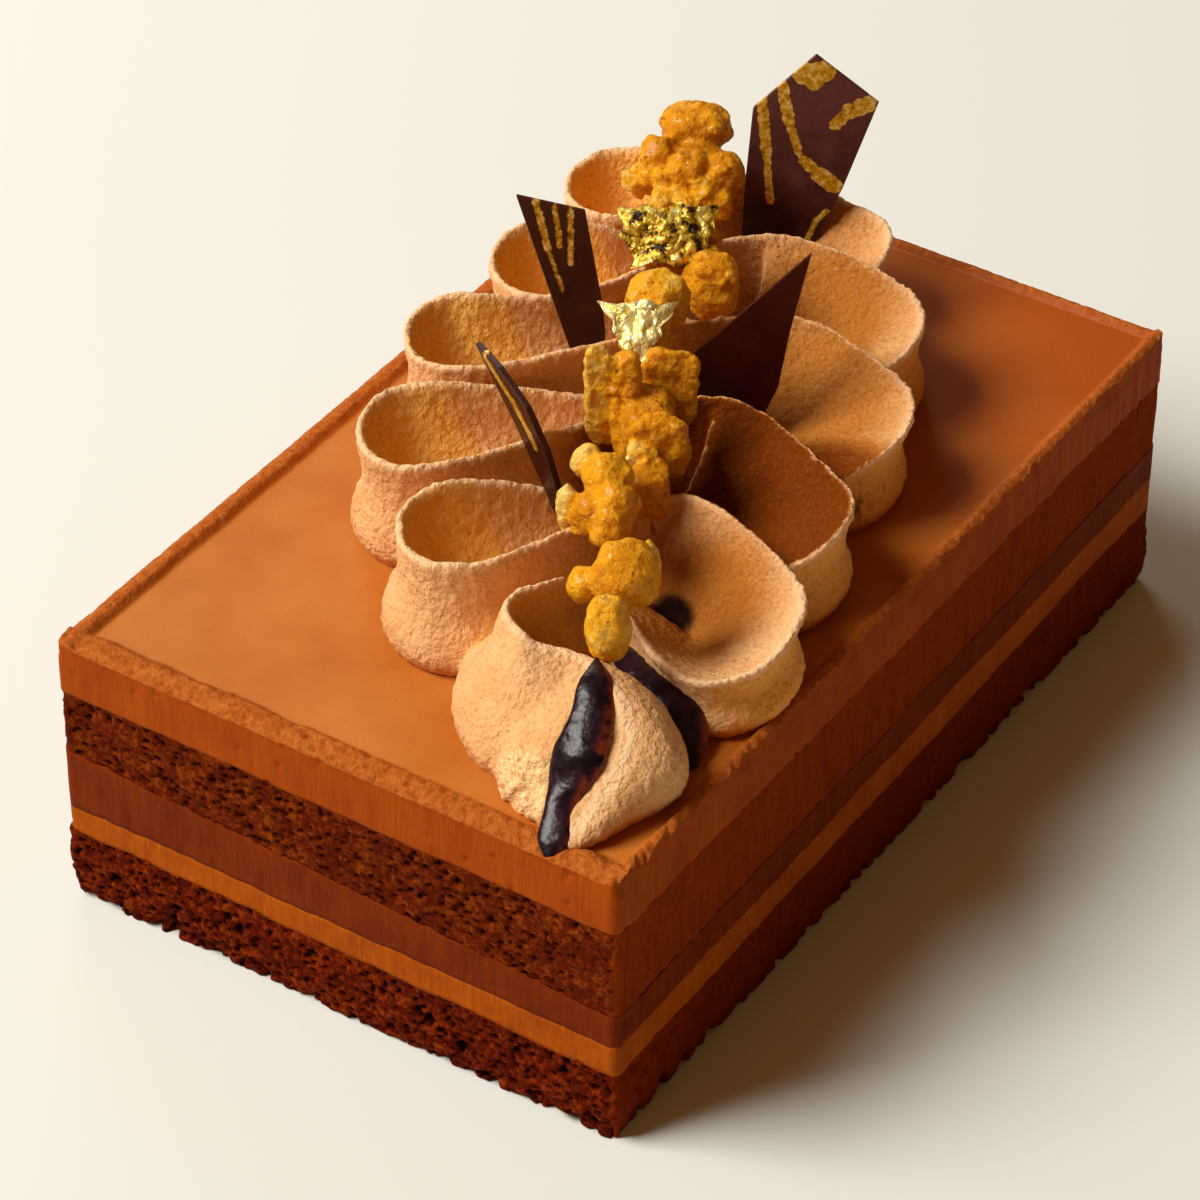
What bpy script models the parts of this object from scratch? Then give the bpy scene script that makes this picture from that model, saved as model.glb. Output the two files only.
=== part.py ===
# Mini chocolate cake: five cut layers, a piped cream ruffle along the diagonal of the top,
# candied nut pieces with gold leaf along its middle, and four thin chocolate shards.
# +X runs along the short side, +Y along the long side, +Z is up; the cake stands on Z = 0.
import math

import bmesh
import bpy
from mathutils import Matrix, Vector, noise
from mathutils.bvhtree import BVHTree

MM = 0.001

# ---- cake body ----
CAKE_LENGTH = 130.0 * MM
CAKE_WIDTH = 80.4 * MM
LAYER_GAP = 0.3 * MM            # clear space between two layers
EDGE_STEP = 6.0 * MM            # spacing of the points round a layer
CORNER_ROUND = 1.2 * MM

# height of each boundary at the front left, front right and back right corner, in mm
BOUNDARIES = {
    "base_top": (10.7, 10.3, 12.1),
    "praline_top": (14.5, 14.7, 17.4),
    "ganache_top": (23.4, 19.4, 22.2),
    "sponge_top": (32.6, 32.3, 32.5),
}
# how far the side of a layer stands out from the cut line: (share of its height, mm)
BASE_SPONGE_SIDE = ((0.0, -0.3), (0.16, 0.5), (0.5, 0.35), (1.0, 0.0))
UPPER_SPONGE_SIDE = ((0.0, -0.25), (0.5, -0.1), (1.0, -0.25))
CREAM_SIDE = ((0.0, -0.1), (1.0, -0.1))
SPONGE_ROUGHNESS = 0.3 * MM
CREAM_ROUGHNESS = 0.06 * MM

# ---- top of the mousse: a raised rim round a smooth field ----
EDGE_HEIGHT = 39.4 * MM
RIM_HEIGHT = 40.1 * MM
FIELD_HEIGHT = 39.2 * MM
RIM_CREST_INSET = (1.4, 2.2, 1.0, 1.0)      # left, front, right, back, mm
RIM_FOOT_INSET = (3.2, 4.5, 2.0, 2.0)

# ---- piped ruffle ----
FOOT_HEIGHT = FIELD_HEIGHT + 0.1 * MM      # before the mousse's own seat is cut from it
LIP = 0.55                       # half the thickness of the ruffle's thin lip, mm
STATIONS_PER_SPAN = 3
LEFT_FOOT = 4.0                  # half-width of the thick foot in the turns on each side, mm
RIGHT_FOOT = 3.7
# the first, solid end of the piping:
# x, y, lean to the right, height, foot on the left, foot on the right, fullness
NOSE = (
    (30.0, -63.2, 0.4, 1.0, 1.4, 1.2, 1.0),
    (30.0, -60.0, 2.6, 3.8, 4.6, 4.0, 1.0),
    (29.0, -56.5, 4.6, 7.2, 7.6, 7.0, 1.0),
    (27.6, -52.5, 5.0, 10.4, 8.8, 10.6, 1.0),
    (25.8, -48.8, 2.2, 13.2, 7.4, 10.4, 0.85),
)
# extra width of the outer foot and fullness over the next two steps
NOSE_FADE = ((4.0, 0.8), (2.0, 0.5))
# each turn: side, apex x, apex y, heading in degrees, half-width in front of and behind the apex,
# depth and half-spacing of the front leg, the same of the back leg, outward lean, height,
# how much lower the front leg is where it is pressed against the turn before it, and how much
# lower the lip is where the turn opens towards the front
TURNS = (
    ("left", 10.6, -48.2, 226, 8.2, 6.8, 0, 0, 0, 0, -3.0, 16.0, 0, 3.0),
    ("right", 35.2, -30.6, -17, 4.8, 8.6, 20.0, 5.8, 23.5, 10.6, 4.0, 13.0, 0.5, 3.5),
    ("left", -4.6, -39.8, 230, 5.7, 7.6, 0, 0, 0, 0, 1.9, 16.0, 0, 0),
    ("right", 30.6, -11.3, -16, 4.8, 8.3, 20.0, 4.0, 25.5, 10.2, 3.6, 13.0, 6.5, 0),
    ("left", -19.6, -25.1, 221, 4.9, 7.2, 0, 0, 0, 0, 3.2, 16.0, 0, 0),
    ("right", 25.8, 9.8, -14, 4.6, 8.2, 18.6, 4.0, 22.5, 10.0, 4.8, 13.0, 6.5, 0),
    ("left", -26.9, -4.8, 212, 4.9, 6.1, 0, 0, 0, 0, 3.2, 16.0, 0, 0),
    ("right", 18.4, 27.6, -11, 5.0, 8.4, 20.0, 3.4, 25.0, 7.2, 3.6, 13.0, 6.5, 0),
    ("left", -28.8, 17.7, 193, 6.2, 6.9, 0, 0, 0, 0, 3.2, 15.0, 0, 0),
    ("right", 6.0, 43.8, -1, 5.0, 5.4, 18.0, 3.8, 19.0, 6.2, 3.2, 13.0, 7.5, 0),
    ("left", -31.4, 38.7, 188, 5.8, 6.0, 0, 0, 0, 0, 3.0, 14.0, 0, 0),
)
# how far the slope inside a right turn reaches, as a share of its foot, from front to back leg
RIGHT_INNER_REACH = (1.0, 1.1, 1.2, 1.7, 2.0, 2.0, 1.2)
# shares of the lean, and lift of the lip in mm, from a turn's front leg to its back leg
RIGHT_LEAN = (0.1, 0.8, 1.0, 1.0, 1.0, 0.8, 0.1)
PRESSED_LEAN = (0.1, 0.1, 0.7, 1.0, 1.0, 0.8, 0.1)
LEFT_LEAN = (0.8, 1.0, 1.0, 1.0, 0.8)
RIGHT_LIFT = (0.0, 0.0, 0.0, 0.0, 0.3, 0.6, 0.8)
FRONT_DROP = (1.0, 0.95, 0.5, 0.1, 0.0, 0.0, 0.0)
RIGHT_OPENING = (0.5, 1.0, 1.0, 0.7, 0.2, 0.0, 0.0)
LEFT_OPENING = (0.8, 0.3, 0.0, 0.0, 0.0)
# the funnel inside each right turn: how far its deepest point lies behind the apex, how far
# towards the back, its height, and how its slope runs, 1 for a straight one
FUNNELS = (
    (13.0, 3.0, 2.6, 0.8),
    (13.5, 2.0, 4.4, 1.0),
    (13.5, 2.0, 4.4, 1.0),
    (13.5, 2.0, 4.4, 1.0),
    (10.5, 1.0, 4.4, 1.0),
)
FUNNEL_LEVEL = 0.95              # the funnel starts this far up the lip
FUNNEL_STEPS = (0.0, 0.3, 0.65, 0.93)
FUNNEL_MOUTH = 1.0               # how much higher its open side is than its deepest point, mm
# the last end of the piping, under the nuts
TAIL = (
    (-19.5, 46.0, 0.0, 12.0, 3.4, 3.4, 0.2),
    (-15.5, 47.4, 0.0, 6.0, 2.6, 2.6, 0.8),
)
# cream that fills the fold beside the nose: centre, half-sizes, turn, and how far its crest leans
FOLD_FILL = ((23.8, -53.0), (7.6, 7.2, 12.2), -25, (1.8, 3.8))
# outline of the standing ribbon: share of the foot, share of the lip, share of the height
RIBBON_OUTLINE = ((0.78, 0.0, 0.0), (1.0, 0.0, 0.12), (0.88, 0.0, 0.28), (0.34, 0.4, 0.50),
                  (0.0, 1.0, 0.95), (0.0, 0.0, 1.0))
# outline of the open slope inside a right-hand cup
CUP_OUTLINE = ((1.0, 0.0, 0.0), (1.0, 0.0, 0.07), (0.74, 0.1, 0.28), (0.36, 0.5, 0.58),
               (0.0, 1.0, 0.95), (0.0, 0.0, 1.0))
# outline of the solid nose
DOME_OUTLINE = ((0.88, 0.0, 0.0), (1.0, 0.0, 0.12), (0.94, 0.0, 0.34), (0.76, 0.0, 0.60),
                (0.36, 0.3, 0.90), (0.0, 0.0, 1.0))
LEAN_POWER = 1.3
JOINT_STEP = 0.06                # how much slimmer a piece is where it starts in the last one, mm
SQUEEZE = 0.6                    # the foot reaches at most this share of a turn's radius inward

# ---- sauce drizzled on the ruffle: half-width and half-depth of each run, whether it lies on
# the cream or in the groove below a lip, then x, y and height above the field, mm; on the cream
# that height is the least one ----
DRIZZLES = (
    (1.9, 1.2, "on_cream",
               ((25.4, -46.8, 12.6), (27.1, -49.8, 11.6), (28.3, -52.8, 9.6),
                (28.6, -55.4, 7.2), (28.8, -58.6, 4.0), (29.9, -61.8, 1.4),
                (30.3, -63.4, 0.6))),
    (2.3, 1.3, "in_groove",
               ((20.4, -33.4, 4.5), (23.9, -34.9, 4.8), (26.4, -35.9, 4.9),
                (28.8, -36.9, 4.8), (31.0, -37.9, 4.0), (33.0, -39.2, 2.2),
                (35.0, -42.0, 0.7))),
)
DRIZZLE_SIDES = 8

# ---- candied nut pieces: each lobe is x, y, height above the field, three half-sizes, turn, tip ----
NUTS = {
    "nut_front": (((23.9, -42.2, 15.6), (2.7, 2.4, 4.9), 33, 0),),
    "nut_lobed": (((21.9, -35.5, 18.2), (4.2, 3.8, 4.6), 33, 0),
                  ((17.6, -37.8, 16.4), (2.0, 2.2, 2.5), 33, 0),
                  ((22.8, -31.7, 16.6), (1.4, 1.8, 4.4), 33, 0)),
    "nut_long": (((7.6, -21.9, 20.3), (2.1, 2.0, 2.2), 33, 0),
                 ((11.1, -22.7, 19.8), (3.2, 2.8, 3.3), 33, 0),
                 ((13.4, -24.9, 18.2), (3.0, 2.8, 3.2), 33, 0),
                 ((14.2, -27.0, 16.6), (2.6, 2.6, 2.8), 33, 0),
                 ((11.0, -26.3, 16.8), (2.6, 2.6, 3.0), 33, 0),
                 ((7.9, -26.5, 16.4), (1.5, 1.8, 3.6), 33, 8)),
    "nut_flaky": (((7.2, -8.0, 16.6), (3.4, 4.6, 4.6), 33, 0),
                  ((1.3, -9.5, 20.0), (2.0, 1.2, 7.0), 33, 0),
                  ((4.3, -8.3, 19.0), (1.9, 2.0, 7.2), 33, -10),
                  ((6.3, -2.1, 18.6), (3.7, 1.3, 5.2), 33, -10),
                  ((11.1, -11.3, 17.2), (3.6, 1.3, 4.6), 33, 0),
                  ((12.2, -15.6, 14.2), (2.6, 3.2, 3.2), 33, 0),
                  ((9.8, -13.9, 17.4), (1.5, 1.5, 1.6), 33, 0)),
    "nut_amber": (((-4.8, 13.0, 18.6), (3.9, 3.4, 4.0), 33, 0),
                  ((-2.8, 7.0, 17.8), (3.2, 3.8, 3.4), 33, 0)),
    "nut_leafed": (((-12.1, 26.7, 17.4), (4.8, 3.4, 3.6), 33, 0),
                   ((-8.6, 28.8, 16.0), (2.8, 2.6, 3.0), 33, 0),
                   ((-6.2, 25.6, 14.8), (3.0, 3.6, 3.6), 33, 0),
                   ((-3.0, 23.0, 15.6), (3.2, 2.4, 4.4), 33, -10)),
    "nut_cluster": (((-17.6, 41.2, 17.0), (5.0, 3.8, 4.4), 33, 0),
                    ((-19.8, 45.5, 21.4), (4.7, 3.4, 3.1), 33, 0),
                    ((-21.4, 38.5, 18.6), (2.3, 2.4, 4.2), 33, 0),
                    ((-16.9, 38.8, 19.0), (2.8, 2.8, 3.0), 33, 0),
                    ((-12.8, 41.2, 18.6), (2.5, 2.3, 3.3), 33, 0),
                    ((-13.6, 37.6, 17.2), (1.6, 1.7, 2.0), 33, 0),
                    ((-19.2, 36.4, 18.2), (1.3, 1.4, 1.9), 33, 0),
                    ((-18.0, 34.3, 16.4), (1.6, 2.2, 1.8), 33, 0),
                    ((-23.4, 37.1, 16.6), (1.5, 1.6, 1.8), 33, 0),
                    ((-15.4, 35.6, 16.8), (1.4, 1.9, 1.5), 33, 0),
                    ((-11.7, 38.7, 16.0), (1.6, 1.7, 2.2), 33, 0)),
}
NUT_SEAT_GROWTH = 0.75 * MM      # how much larger the hollow pressed in the cream is
NUT_BUMP = 0.10                  # bumps as a share of a lobe's size

# ---- gold leaf fused on two of the nut pieces: centre, size across and along, turn, tip,
# how much narrower its lower edge is, and the start of its own crumple ----
GOLD_LEAVES = {
    "nut_amber": ((-1.5, 4.4, 19.5), 9.6, 7.0, 33, 40, 0.75, 3),
    "nut_leafed": ((-10.0, 24.2, 19.4), 12.0, 8.0, 33, 40, 0.25, 8),
}
LEAF_THICKNESS = 0.5 * MM
LEAF_CRUMPLE = 0.9 * MM
LEAF_DROOP = 22.0 * MM           # radius that its edges bend back by

# ---- chocolate shards: foot point, turn, backward tilt, corners from the foot point (mm) ----
SHARD_THICKNESS = 0.8 * MM
SHARD_SEAT_GAP = 0.35 * MM
SHARDS = {
    "shard_back_right": ((-8.2, 46.4, 7.0), 20, 4,
                         ((-4.4, -4.0), (4.2, -4.0), (5.0, 0.3), (8.7, 9.7), (12.7, 22.6),
                          (4.3, 28.3), (-3.5, 19.6), (-4.1, 9.0))),
    "shard_back_left": ((-12.7, 10.0, 12.0), 35, 8,
                        ((-2.2, -3.6), (1.6, -3.6), (1.7, 0.6), (1.3, 4.6), (-0.8, 17.3),
                         (-9.3, 19.5), (-6.4, 10.0))),
    "shard_front_left": ((3.3, -21.1, 12.0), -31, -10,
                         ((-1.0, -4.2), (1.6, -3.0), (1.1, 0.8), (-0.6, 7.6), (-4.5, 11.9),
                          (-12.0, 13.0), (-18.9, 12.2), (-9.7, 5.2))),
    "shard_right": ((6.5, 10.9, 8.0), 20, 6,
                    ((-3.6, -3.4), (3.8, -3.4), (6.6, 3.9), (7.7, 11.9), (9.9, 23.3),
                     (-4.7, 6.4), (-4.4, -0.7))),
}

for old in list(bpy.data.objects):
    bpy.data.objects.remove(old, do_unlink=True)

cake = bpy.data.collections.new("mini_chocolate_cake")
bpy.context.scene.collection.children.link(cake)
cutters = bpy.data.collections.new("seat_cutters")
bpy.context.scene.collection.children.link(cutters)
joined = bpy.data.collections.new("pieces_to_join")
bpy.context.scene.collection.children.link(joined)


def material(name, colour, roughness, metallic=0.0):
    made = bpy.data.materials.new(name)
    made.use_nodes = True
    shader = made.node_tree.nodes["Principled BSDF"]
    shader.inputs["Base Color"].default_value = (*colour, 1.0)
    shader.inputs["Roughness"].default_value = roughness
    shader.inputs["Metallic"].default_value = metallic
    return made


def add_object(name, mesh, collection, finish=None):
    item = bpy.data.objects.new(name, mesh)
    collection.objects.link(item)
    if finish:
        mesh.materials.append(finish)
    if collection is cutters:
        item.hide_render = True
        item.display_type = "WIRE"
    return item


def mesh_from(shape, name):
    bmesh.ops.recalc_face_normals(shape, faces=shape.faces)
    mesh = bpy.data.meshes.new(name)
    shape.to_mesh(mesh)
    shape.free()
    return mesh


def skin_rings(shape, rings):
    """Quads between rings of the same number of points; a flat face closes each end."""
    rows = [[shape.verts.new(point) for point in ring] for ring in rings]
    for low, high in zip(rows, rows[1:]):
        for i in range(len(low)):
            j = (i + 1) % len(low)
            shape.faces.new((low[i], low[j], high[j], high[i]))
    shape.faces.new(rows[0][::-1])
    shape.faces.new(rows[-1])


def keep_evaluated(item):
    """Turn an object's modifiers into its own mesh."""
    graph = bpy.context.evaluated_depsgraph_get()
    mesh = bpy.data.meshes.new_from_object(item.evaluated_get(graph))
    item.modifiers.clear()
    item.data = mesh


# ---- cake layers ----
def boundary_plane(name):
    """The tilted plane of a boundary, as height = a + b x + c y."""
    left, right, back = (value * MM for value in BOUNDARIES[name])
    slope_x = (right - left) / CAKE_WIDTH
    slope_y = (back - right) / CAKE_LENGTH
    return ((left + back) / 2, slope_x, slope_y)


def plane_height(plane, x, y):
    return plane[0] + plane[1] * x + plane[2] * y


def cake_outline(inset_left, inset_front, inset_right, inset_back):
    """Points round the cake's rectangle, corners rounded, each with its outward direction."""
    x_low, x_high = -CAKE_WIDTH / 2 + inset_left, CAKE_WIDTH / 2 - inset_right
    y_low, y_high = -CAKE_LENGTH / 2 + inset_front, CAKE_LENGTH / 2 - inset_back
    corners = ((x_low, y_low), (x_high, y_low), (x_high, y_high), (x_low, y_high))
    points = []
    for i, (x, y) in enumerate(corners):
        next_x, next_y = corners[(i + 1) % 4]
        along = Vector((next_x - x, next_y - y)).normalized()
        out = Vector((along.y, -along.x))
        side = CAKE_WIDTH if i % 2 == 0 else CAKE_LENGTH
        count = round(side / EDGE_STEP)
        start = Vector((x, y)) + along * CORNER_ROUND
        end = Vector((next_x, next_y)) - along * CORNER_ROUND
        for k in range(count + 1):
            points.append((start.lerp(end, k / count), out))
    return points


def layer(name, low, high, side, roughness, seed, finish):
    """One layer between two boundary planes; its side follows the given profile."""
    shape = bmesh.new()
    rings = []
    for share, stand_out in side:
        ring = []
        for point, out in cake_outline(0, 0, 0, 0):
            bottom = plane_height(low, point.x, point.y)
            top = plane_height(high, point.x, point.y)
            spot = Vector((point.x, point.y, share * 0.02)) / (6 * MM) + Vector((seed, 0, 0))
            push = stand_out * MM + roughness * noise.noise(spot * 2.0)
            ring.append((*(point + out * push), bottom + (top - bottom) * share))
        rings.append(ring)
    skin_rings(shape, rings)
    return add_object(name, mesh_from(shape, name), cake, finish)


def raised(plane, amount):
    return (plane[0] + amount, plane[1], plane[2])


HALF_GAP = LAYER_GAP / 2
ground = (0.0, 0.0, 0.0)
base_top = boundary_plane("base_top")
praline_top = boundary_plane("praline_top")
ganache_top = boundary_plane("ganache_top")
sponge_top = boundary_plane("sponge_top")

dark_sponge = material("base_sponge_crumb", (0.085, 0.028, 0.012), 0.95)
brown_sponge = material("upper_sponge_crumb", (0.12, 0.045, 0.02), 0.95)
praline = material("praline_cream", (0.46, 0.20, 0.075), 0.6)
ganache = material("dark_ganache", (0.15, 0.055, 0.022), 0.5)
mousse = material("milk_chocolate_mousse", (0.38, 0.16, 0.07), 0.55)
cream = material("piped_cream", (0.55, 0.30, 0.17), 0.65)
caramel = material("candied_nut", (0.72, 0.40, 0.06), 0.25)
plain_chocolate = material("plain_chocolate", (0.06, 0.018, 0.012), 0.3)
patterned_chocolate = material("patterned_chocolate", (0.10, 0.04, 0.03), 0.3)

layer("sponge_base", ground, raised(base_top, -HALF_GAP), BASE_SPONGE_SIDE,
      SPONGE_ROUGHNESS, 1.0, dark_sponge)
layer("praline_layer", raised(base_top, HALF_GAP), raised(praline_top, -HALF_GAP), CREAM_SIDE,
      CREAM_ROUGHNESS, 2.0, praline)
layer("ganache_layer", raised(praline_top, HALF_GAP), raised(ganache_top, -HALF_GAP), CREAM_SIDE,
      CREAM_ROUGHNESS, 3.0, ganache)
layer("sponge_upper", raised(ganache_top, HALF_GAP), raised(sponge_top, -HALF_GAP),
      UPPER_SPONGE_SIDE, SPONGE_ROUGHNESS, 4.0, brown_sponge)

# the mousse: a plain side, then the rim's outer edge, crest and inner foot
mousse_shape = bmesh.new()
mousse_floor = raised(sponge_top, HALF_GAP)
mousse_rings = [[(p.x, p.y, plane_height(mousse_floor, p.x, p.y))
                 for p, out in cake_outline(0, 0, 0, 0)]]
rim_steps = ((EDGE_HEIGHT - 0.8 * MM, (0, 0, 0, 0)), (EDGE_HEIGHT, (0.3, 0.4, 0.3, 0.3)),
             (RIM_HEIGHT, RIM_CREST_INSET), (FIELD_HEIGHT, RIM_FOOT_INSET))
for level, insets in rim_steps:
    mousse_rings.append([(p.x, p.y, level)
                         for p, out in cake_outline(*(inset * MM for inset in insets))])
skin_rings(mousse_shape, mousse_rings)
add_object("mousse_top", mesh_from(mousse_shape, "mousse_top"), cake, mousse)
# the same form, raised by the gap, shapes the underside of the cream
clearance_shape = bmesh.new()
skin_rings(clearance_shape, [[(x, y, z + LAYER_GAP) for x, y, z in ring] for ring in mousse_rings])
add_object("mousse_clearance", mesh_from(clearance_shape, "mousse_clearance"), cutters)


# ---- piped ruffle: a ribbon standing on its thick foot, laid in turns from side to side ----
def turn_rows(turn):
    """Control rows of one turn: x, y, lean to the right, height, left and right foot, fullness."""
    side, apex_x, apex_y, heading, front, behind = turn[:6]
    front_depth, front_leg, back_depth, back_leg, lean, height, drop, opening = turn[6:]
    along = Vector((math.cos(math.radians(heading)), math.sin(math.radians(heading))))
    across = Vector((-along.y, along.x))
    hand = 1 if side == "right" else -1
    foot = RIGHT_FOOT if side == "right" else LEFT_FOOT
    steps = [(front, front), (0.3 * front, 0.74 * front), (0, 0),
             (0.3 * behind, -0.74 * behind), (behind, -behind)]
    shares, lifts = LEFT_LEAN, [-opening * share for share in LEFT_OPENING]
    if side == "right":
        steps = [(front_depth, front_leg)] + steps + [(back_depth, -back_leg)]
        shares = PRESSED_LEAN if drop > 1 else RIGHT_LEAN
        lifts = [lift - drop * low - opening * open_share for lift, low, open_share
                 in zip(RIGHT_LIFT, FRONT_DROP, RIGHT_OPENING)]
    rows = []
    for i, (back, sideways) in enumerate(steps):
        spot = Vector((apex_x, apex_y)) - along * back - across * sideways * hand
        left_foot = foot * RIGHT_INNER_REACH[i] if side == "right" else foot
        rows.append((spot.x, spot.y, hand * lean * shares[i], height + lifts[i],
                     left_foot, foot, 0.0))
    return rows


def smooth_path(rows, per_span):
    """Centripetal curve through the rows; also gives where each row falls on it."""
    first = [2 * a - b for a, b in zip(rows[0], rows[1])]
    last = [2 * a - b for a, b in zip(rows[-1], rows[-2])]
    points = [Vector(row) for row in (first, *rows, last)]
    path = []
    for i in range(1, len(points) - 2):
        p0, p1, p2, p3 = points[i - 1:i + 3]
        t0 = 0.0
        t1 = t0 + math.sqrt((p1 - p0).xy.length)
        t2 = t1 + math.sqrt((p2 - p1).xy.length)
        t3 = t2 + math.sqrt((p3 - p2).xy.length)
        for k in range(per_span):
            t = t1 + (t2 - t1) * k / per_span
            a1 = p0.lerp(p1, (t - t0) / (t1 - t0))
            a2 = p1.lerp(p2, (t - t1) / (t2 - t1))
            a3 = p2.lerp(p3, (t - t2) / (t3 - t2))
            b1 = a1.lerp(a2, (t - t0) / (t2 - t0))
            b2 = a2.lerp(a3, (t - t1) / (t3 - t1))
            path.append(b1.lerp(b2, (t - t1) / (t2 - t1)))
    path.append(points[-2])
    return path


def blend(first, second, share):
    return [[a + (b - a) * share for a, b in zip(*pair)] for pair in zip(first, second)]


def ribbon_ring(spot, right, bend, slim):
    """One closed outline of the ribbon across the path, slimmer all round by the given mm;
    bend is the path's curvature, 1/mm."""
    x, y, lean, height, left_foot, right_foot, fullness = spot
    openness = min(max(left_foot / RIGHT_FOOT - 1, 0), 1)
    left_side = blend(blend(RIBBON_OUTLINE, CUP_OUTLINE, openness), DOME_OUTLINE, fullness)
    right_side = blend(RIBBON_OUTLINE, DOME_OUTLINE, fullness)
    outline = [(-left_foot * share - LIP * lip, level) for share, lip, level in left_side]
    outline += [(right_foot * share + LIP * lip, level) for share, lip, level in right_side[-2::-1]]
    ring = []
    for wide, level in outline:
        inward = min(slim, abs(wide)) * (1 if wide > 0 else -1)
        if wide * bend > SQUEEZE:
            wide = SQUEEZE / bend
        reach = wide - inward + lean * level ** LEAN_POWER
        rise = slim + level * (height - 2 * slim)
        ring.append(((x + right.x * reach) * MM, (y + right.y * reach) * MM,
                     FOOT_HEIGHT + rise * MM))
    return ring


def bend_at(path, i):
    """Signed curvature of the path in plan, positive where it turns to the right."""
    before = (path[i] - path[i - 1]).xy
    after = (path[i + 1] - path[i]).xy
    return before.angle_signed(after) / ((before.length + after.length) / 2)


groups = [list(NOSE)] + [turn_rows(turn) for turn in TURNS] + [list(TAIL)]
# the nose fades into the first turn: its outer foot is wider and fuller there
for step, (wider, fuller) in enumerate(NOSE_FADE):
    x, y, lean, height, left_foot, right_foot, fullness = groups[1][step]
    groups[1][step] = (x, y, lean, height, left_foot + wider, right_foot, fuller)
control_rows = [row for group in groups for row in group]
path = smooth_path(control_rows, STATIONS_PER_SPAN)
bends = [0.0] + [bend_at(path, i) for i in range(1, len(path) - 1)] + [0.0]


def ring_at(i, slim=0.0):
    spot = path[i]
    ahead = path[min(i + 1, len(path) - 1)] - path[max(i - 1, 0)]
    direction = Vector((ahead[0], ahead[1])).normalized()
    bend = max(bends[max(i - 1, 0):i + 2], key=abs)
    return ribbon_ring(spot, Vector((direction.y, -direction.x)), bend, slim)


# each turn is built in two pieces; each piece starts slightly slimmer, inside the one before
cuts = [0]
for group in groups[:-1]:
    start = cuts[-1]
    if group is not groups[0]:
        cuts.append(start + len(group) // 2 * STATIONS_PER_SPAN)
    cuts.append(start + len(group) * STATIONS_PER_SPAN)
cuts.append(len(path) - 1)
for number, (start, end) in enumerate(zip(cuts, cuts[1:])):
    piece = bmesh.new()
    rings = [ring_at(i) for i in range(start + 1, end + 1)]
    if start:
        rings = [ring_at(start - 1, 2 * JOINT_STEP), ring_at(start, JOINT_STEP)] + rings
    else:
        rings = [ring_at(start)] + rings
    skin_rings(piece, rings)
    name = "ribbon_piece_%02d" % number
    add_object(name, mesh_from(piece, name), joined)


def funnel_rings(turn, funnel, stations):
    """Rings of the solid inside a right turn: its floor, then from the lip to the lowest point."""
    apex_x, apex_y, heading = turn[1:4]
    behind, sideways, low, slope = funnel
    along = Vector((math.cos(math.radians(heading)), math.sin(math.radians(heading))))
    deepest = Vector((apex_x, apex_y)) - along * behind + Vector((-along.y, along.x)) * sideways
    floor, lip = [], []
    for i in stations:
        x, y, lean, height = path[i][:4]
        ahead = (path[i + 1] - path[i - 1]).xy.normalized()
        shift = Vector((ahead.y, -ahead.x)) * lean * FUNNEL_LEVEL ** LEAN_POWER
        floor.append(Vector((x, y, 0.0)))
        lip.append(Vector((x + shift.x, y + shift.y, height * FUNNEL_LEVEL)))
    mouth = (floor[0] + floor[-1]) / 2
    floor.append(mouth)
    lip.append(Vector((mouth.x, mouth.y, low + FUNNEL_MOUTH)))
    rings = [floor]
    for share in FUNNEL_STEPS:
        ring = []
        for spot in lip:
            place = spot.xy.lerp(deepest, share)
            ring.append(Vector((*place, low + (spot.z - low) * (1 - share) ** slope)))
        rings.append(ring)
    return [[(spot.x * MM, spot.y * MM, FOOT_HEIGHT + spot.z * MM) for spot in ring]
            for ring in rings]


first_row = len(NOSE)
funnels = iter(FUNNELS)
for turn, group in zip(TURNS, groups[1:]):
    if turn[0] == "right":
        start = first_row * STATIONS_PER_SPAN
        piece = bmesh.new()
        stations = range(start, start + (len(group) - 1) * STATIONS_PER_SPAN + 1, 2)
        skin_rings(piece, funnel_rings(turn, next(funnels), stations))
        name = "funnel_%d" % first_row
        add_object(name, mesh_from(piece, name), joined)
    first_row += len(group)

# a run of sauce on the cream follows it, and bridges its hollows at the least height
graph = bpy.context.evaluated_depsgraph_get()
trees = [BVHTree.FromObject(item, graph) for item in joined.objects]


def resting_height(x, y, least):
    best = FIELD_HEIGHT + least
    for tree in trees:
        hit = tree.ray_cast(Vector((x, y, 1.0)), Vector((0, 0, -1)))[0]
        if hit and hit.z > best:
            best = hit.z
    return best


for number, (half_width, half_depth, lying, run) in enumerate(DRIZZLES):
    centres = []
    for x, y, height in run:
        level = FIELD_HEIGHT + height * MM
        if lying == "on_cream":
            level = resting_height(x * MM, y * MM, height * MM)
        centres.append(Vector((x * MM, y * MM, level)))
    piece = bmesh.new()
    loops = []
    for i, centre in enumerate(centres):
        ahead = (centres[min(i + 1, len(centres) - 1)] - centres[max(i - 1, 0)]).normalized()
        sideways = ahead.cross(Vector((0, 0, 1))).normalized()
        outward = sideways.cross(ahead)
        size = 0.6 if i in (0, len(centres) - 1) else 1.0
        loop = []
        for k in range(DRIZZLE_SIDES):
            angle = 2 * math.pi * (k + 0.5) / DRIZZLE_SIDES
            offset = sideways * math.cos(angle) * half_width * MM
            offset += outward * math.sin(angle) * half_depth * MM
            loop.append(centre + offset * size)
        loops.append(loop)
    skin_rings(piece, loops)
    name = "drizzle_%d" % number
    add_object(name, mesh_from(piece, name), joined)

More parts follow.
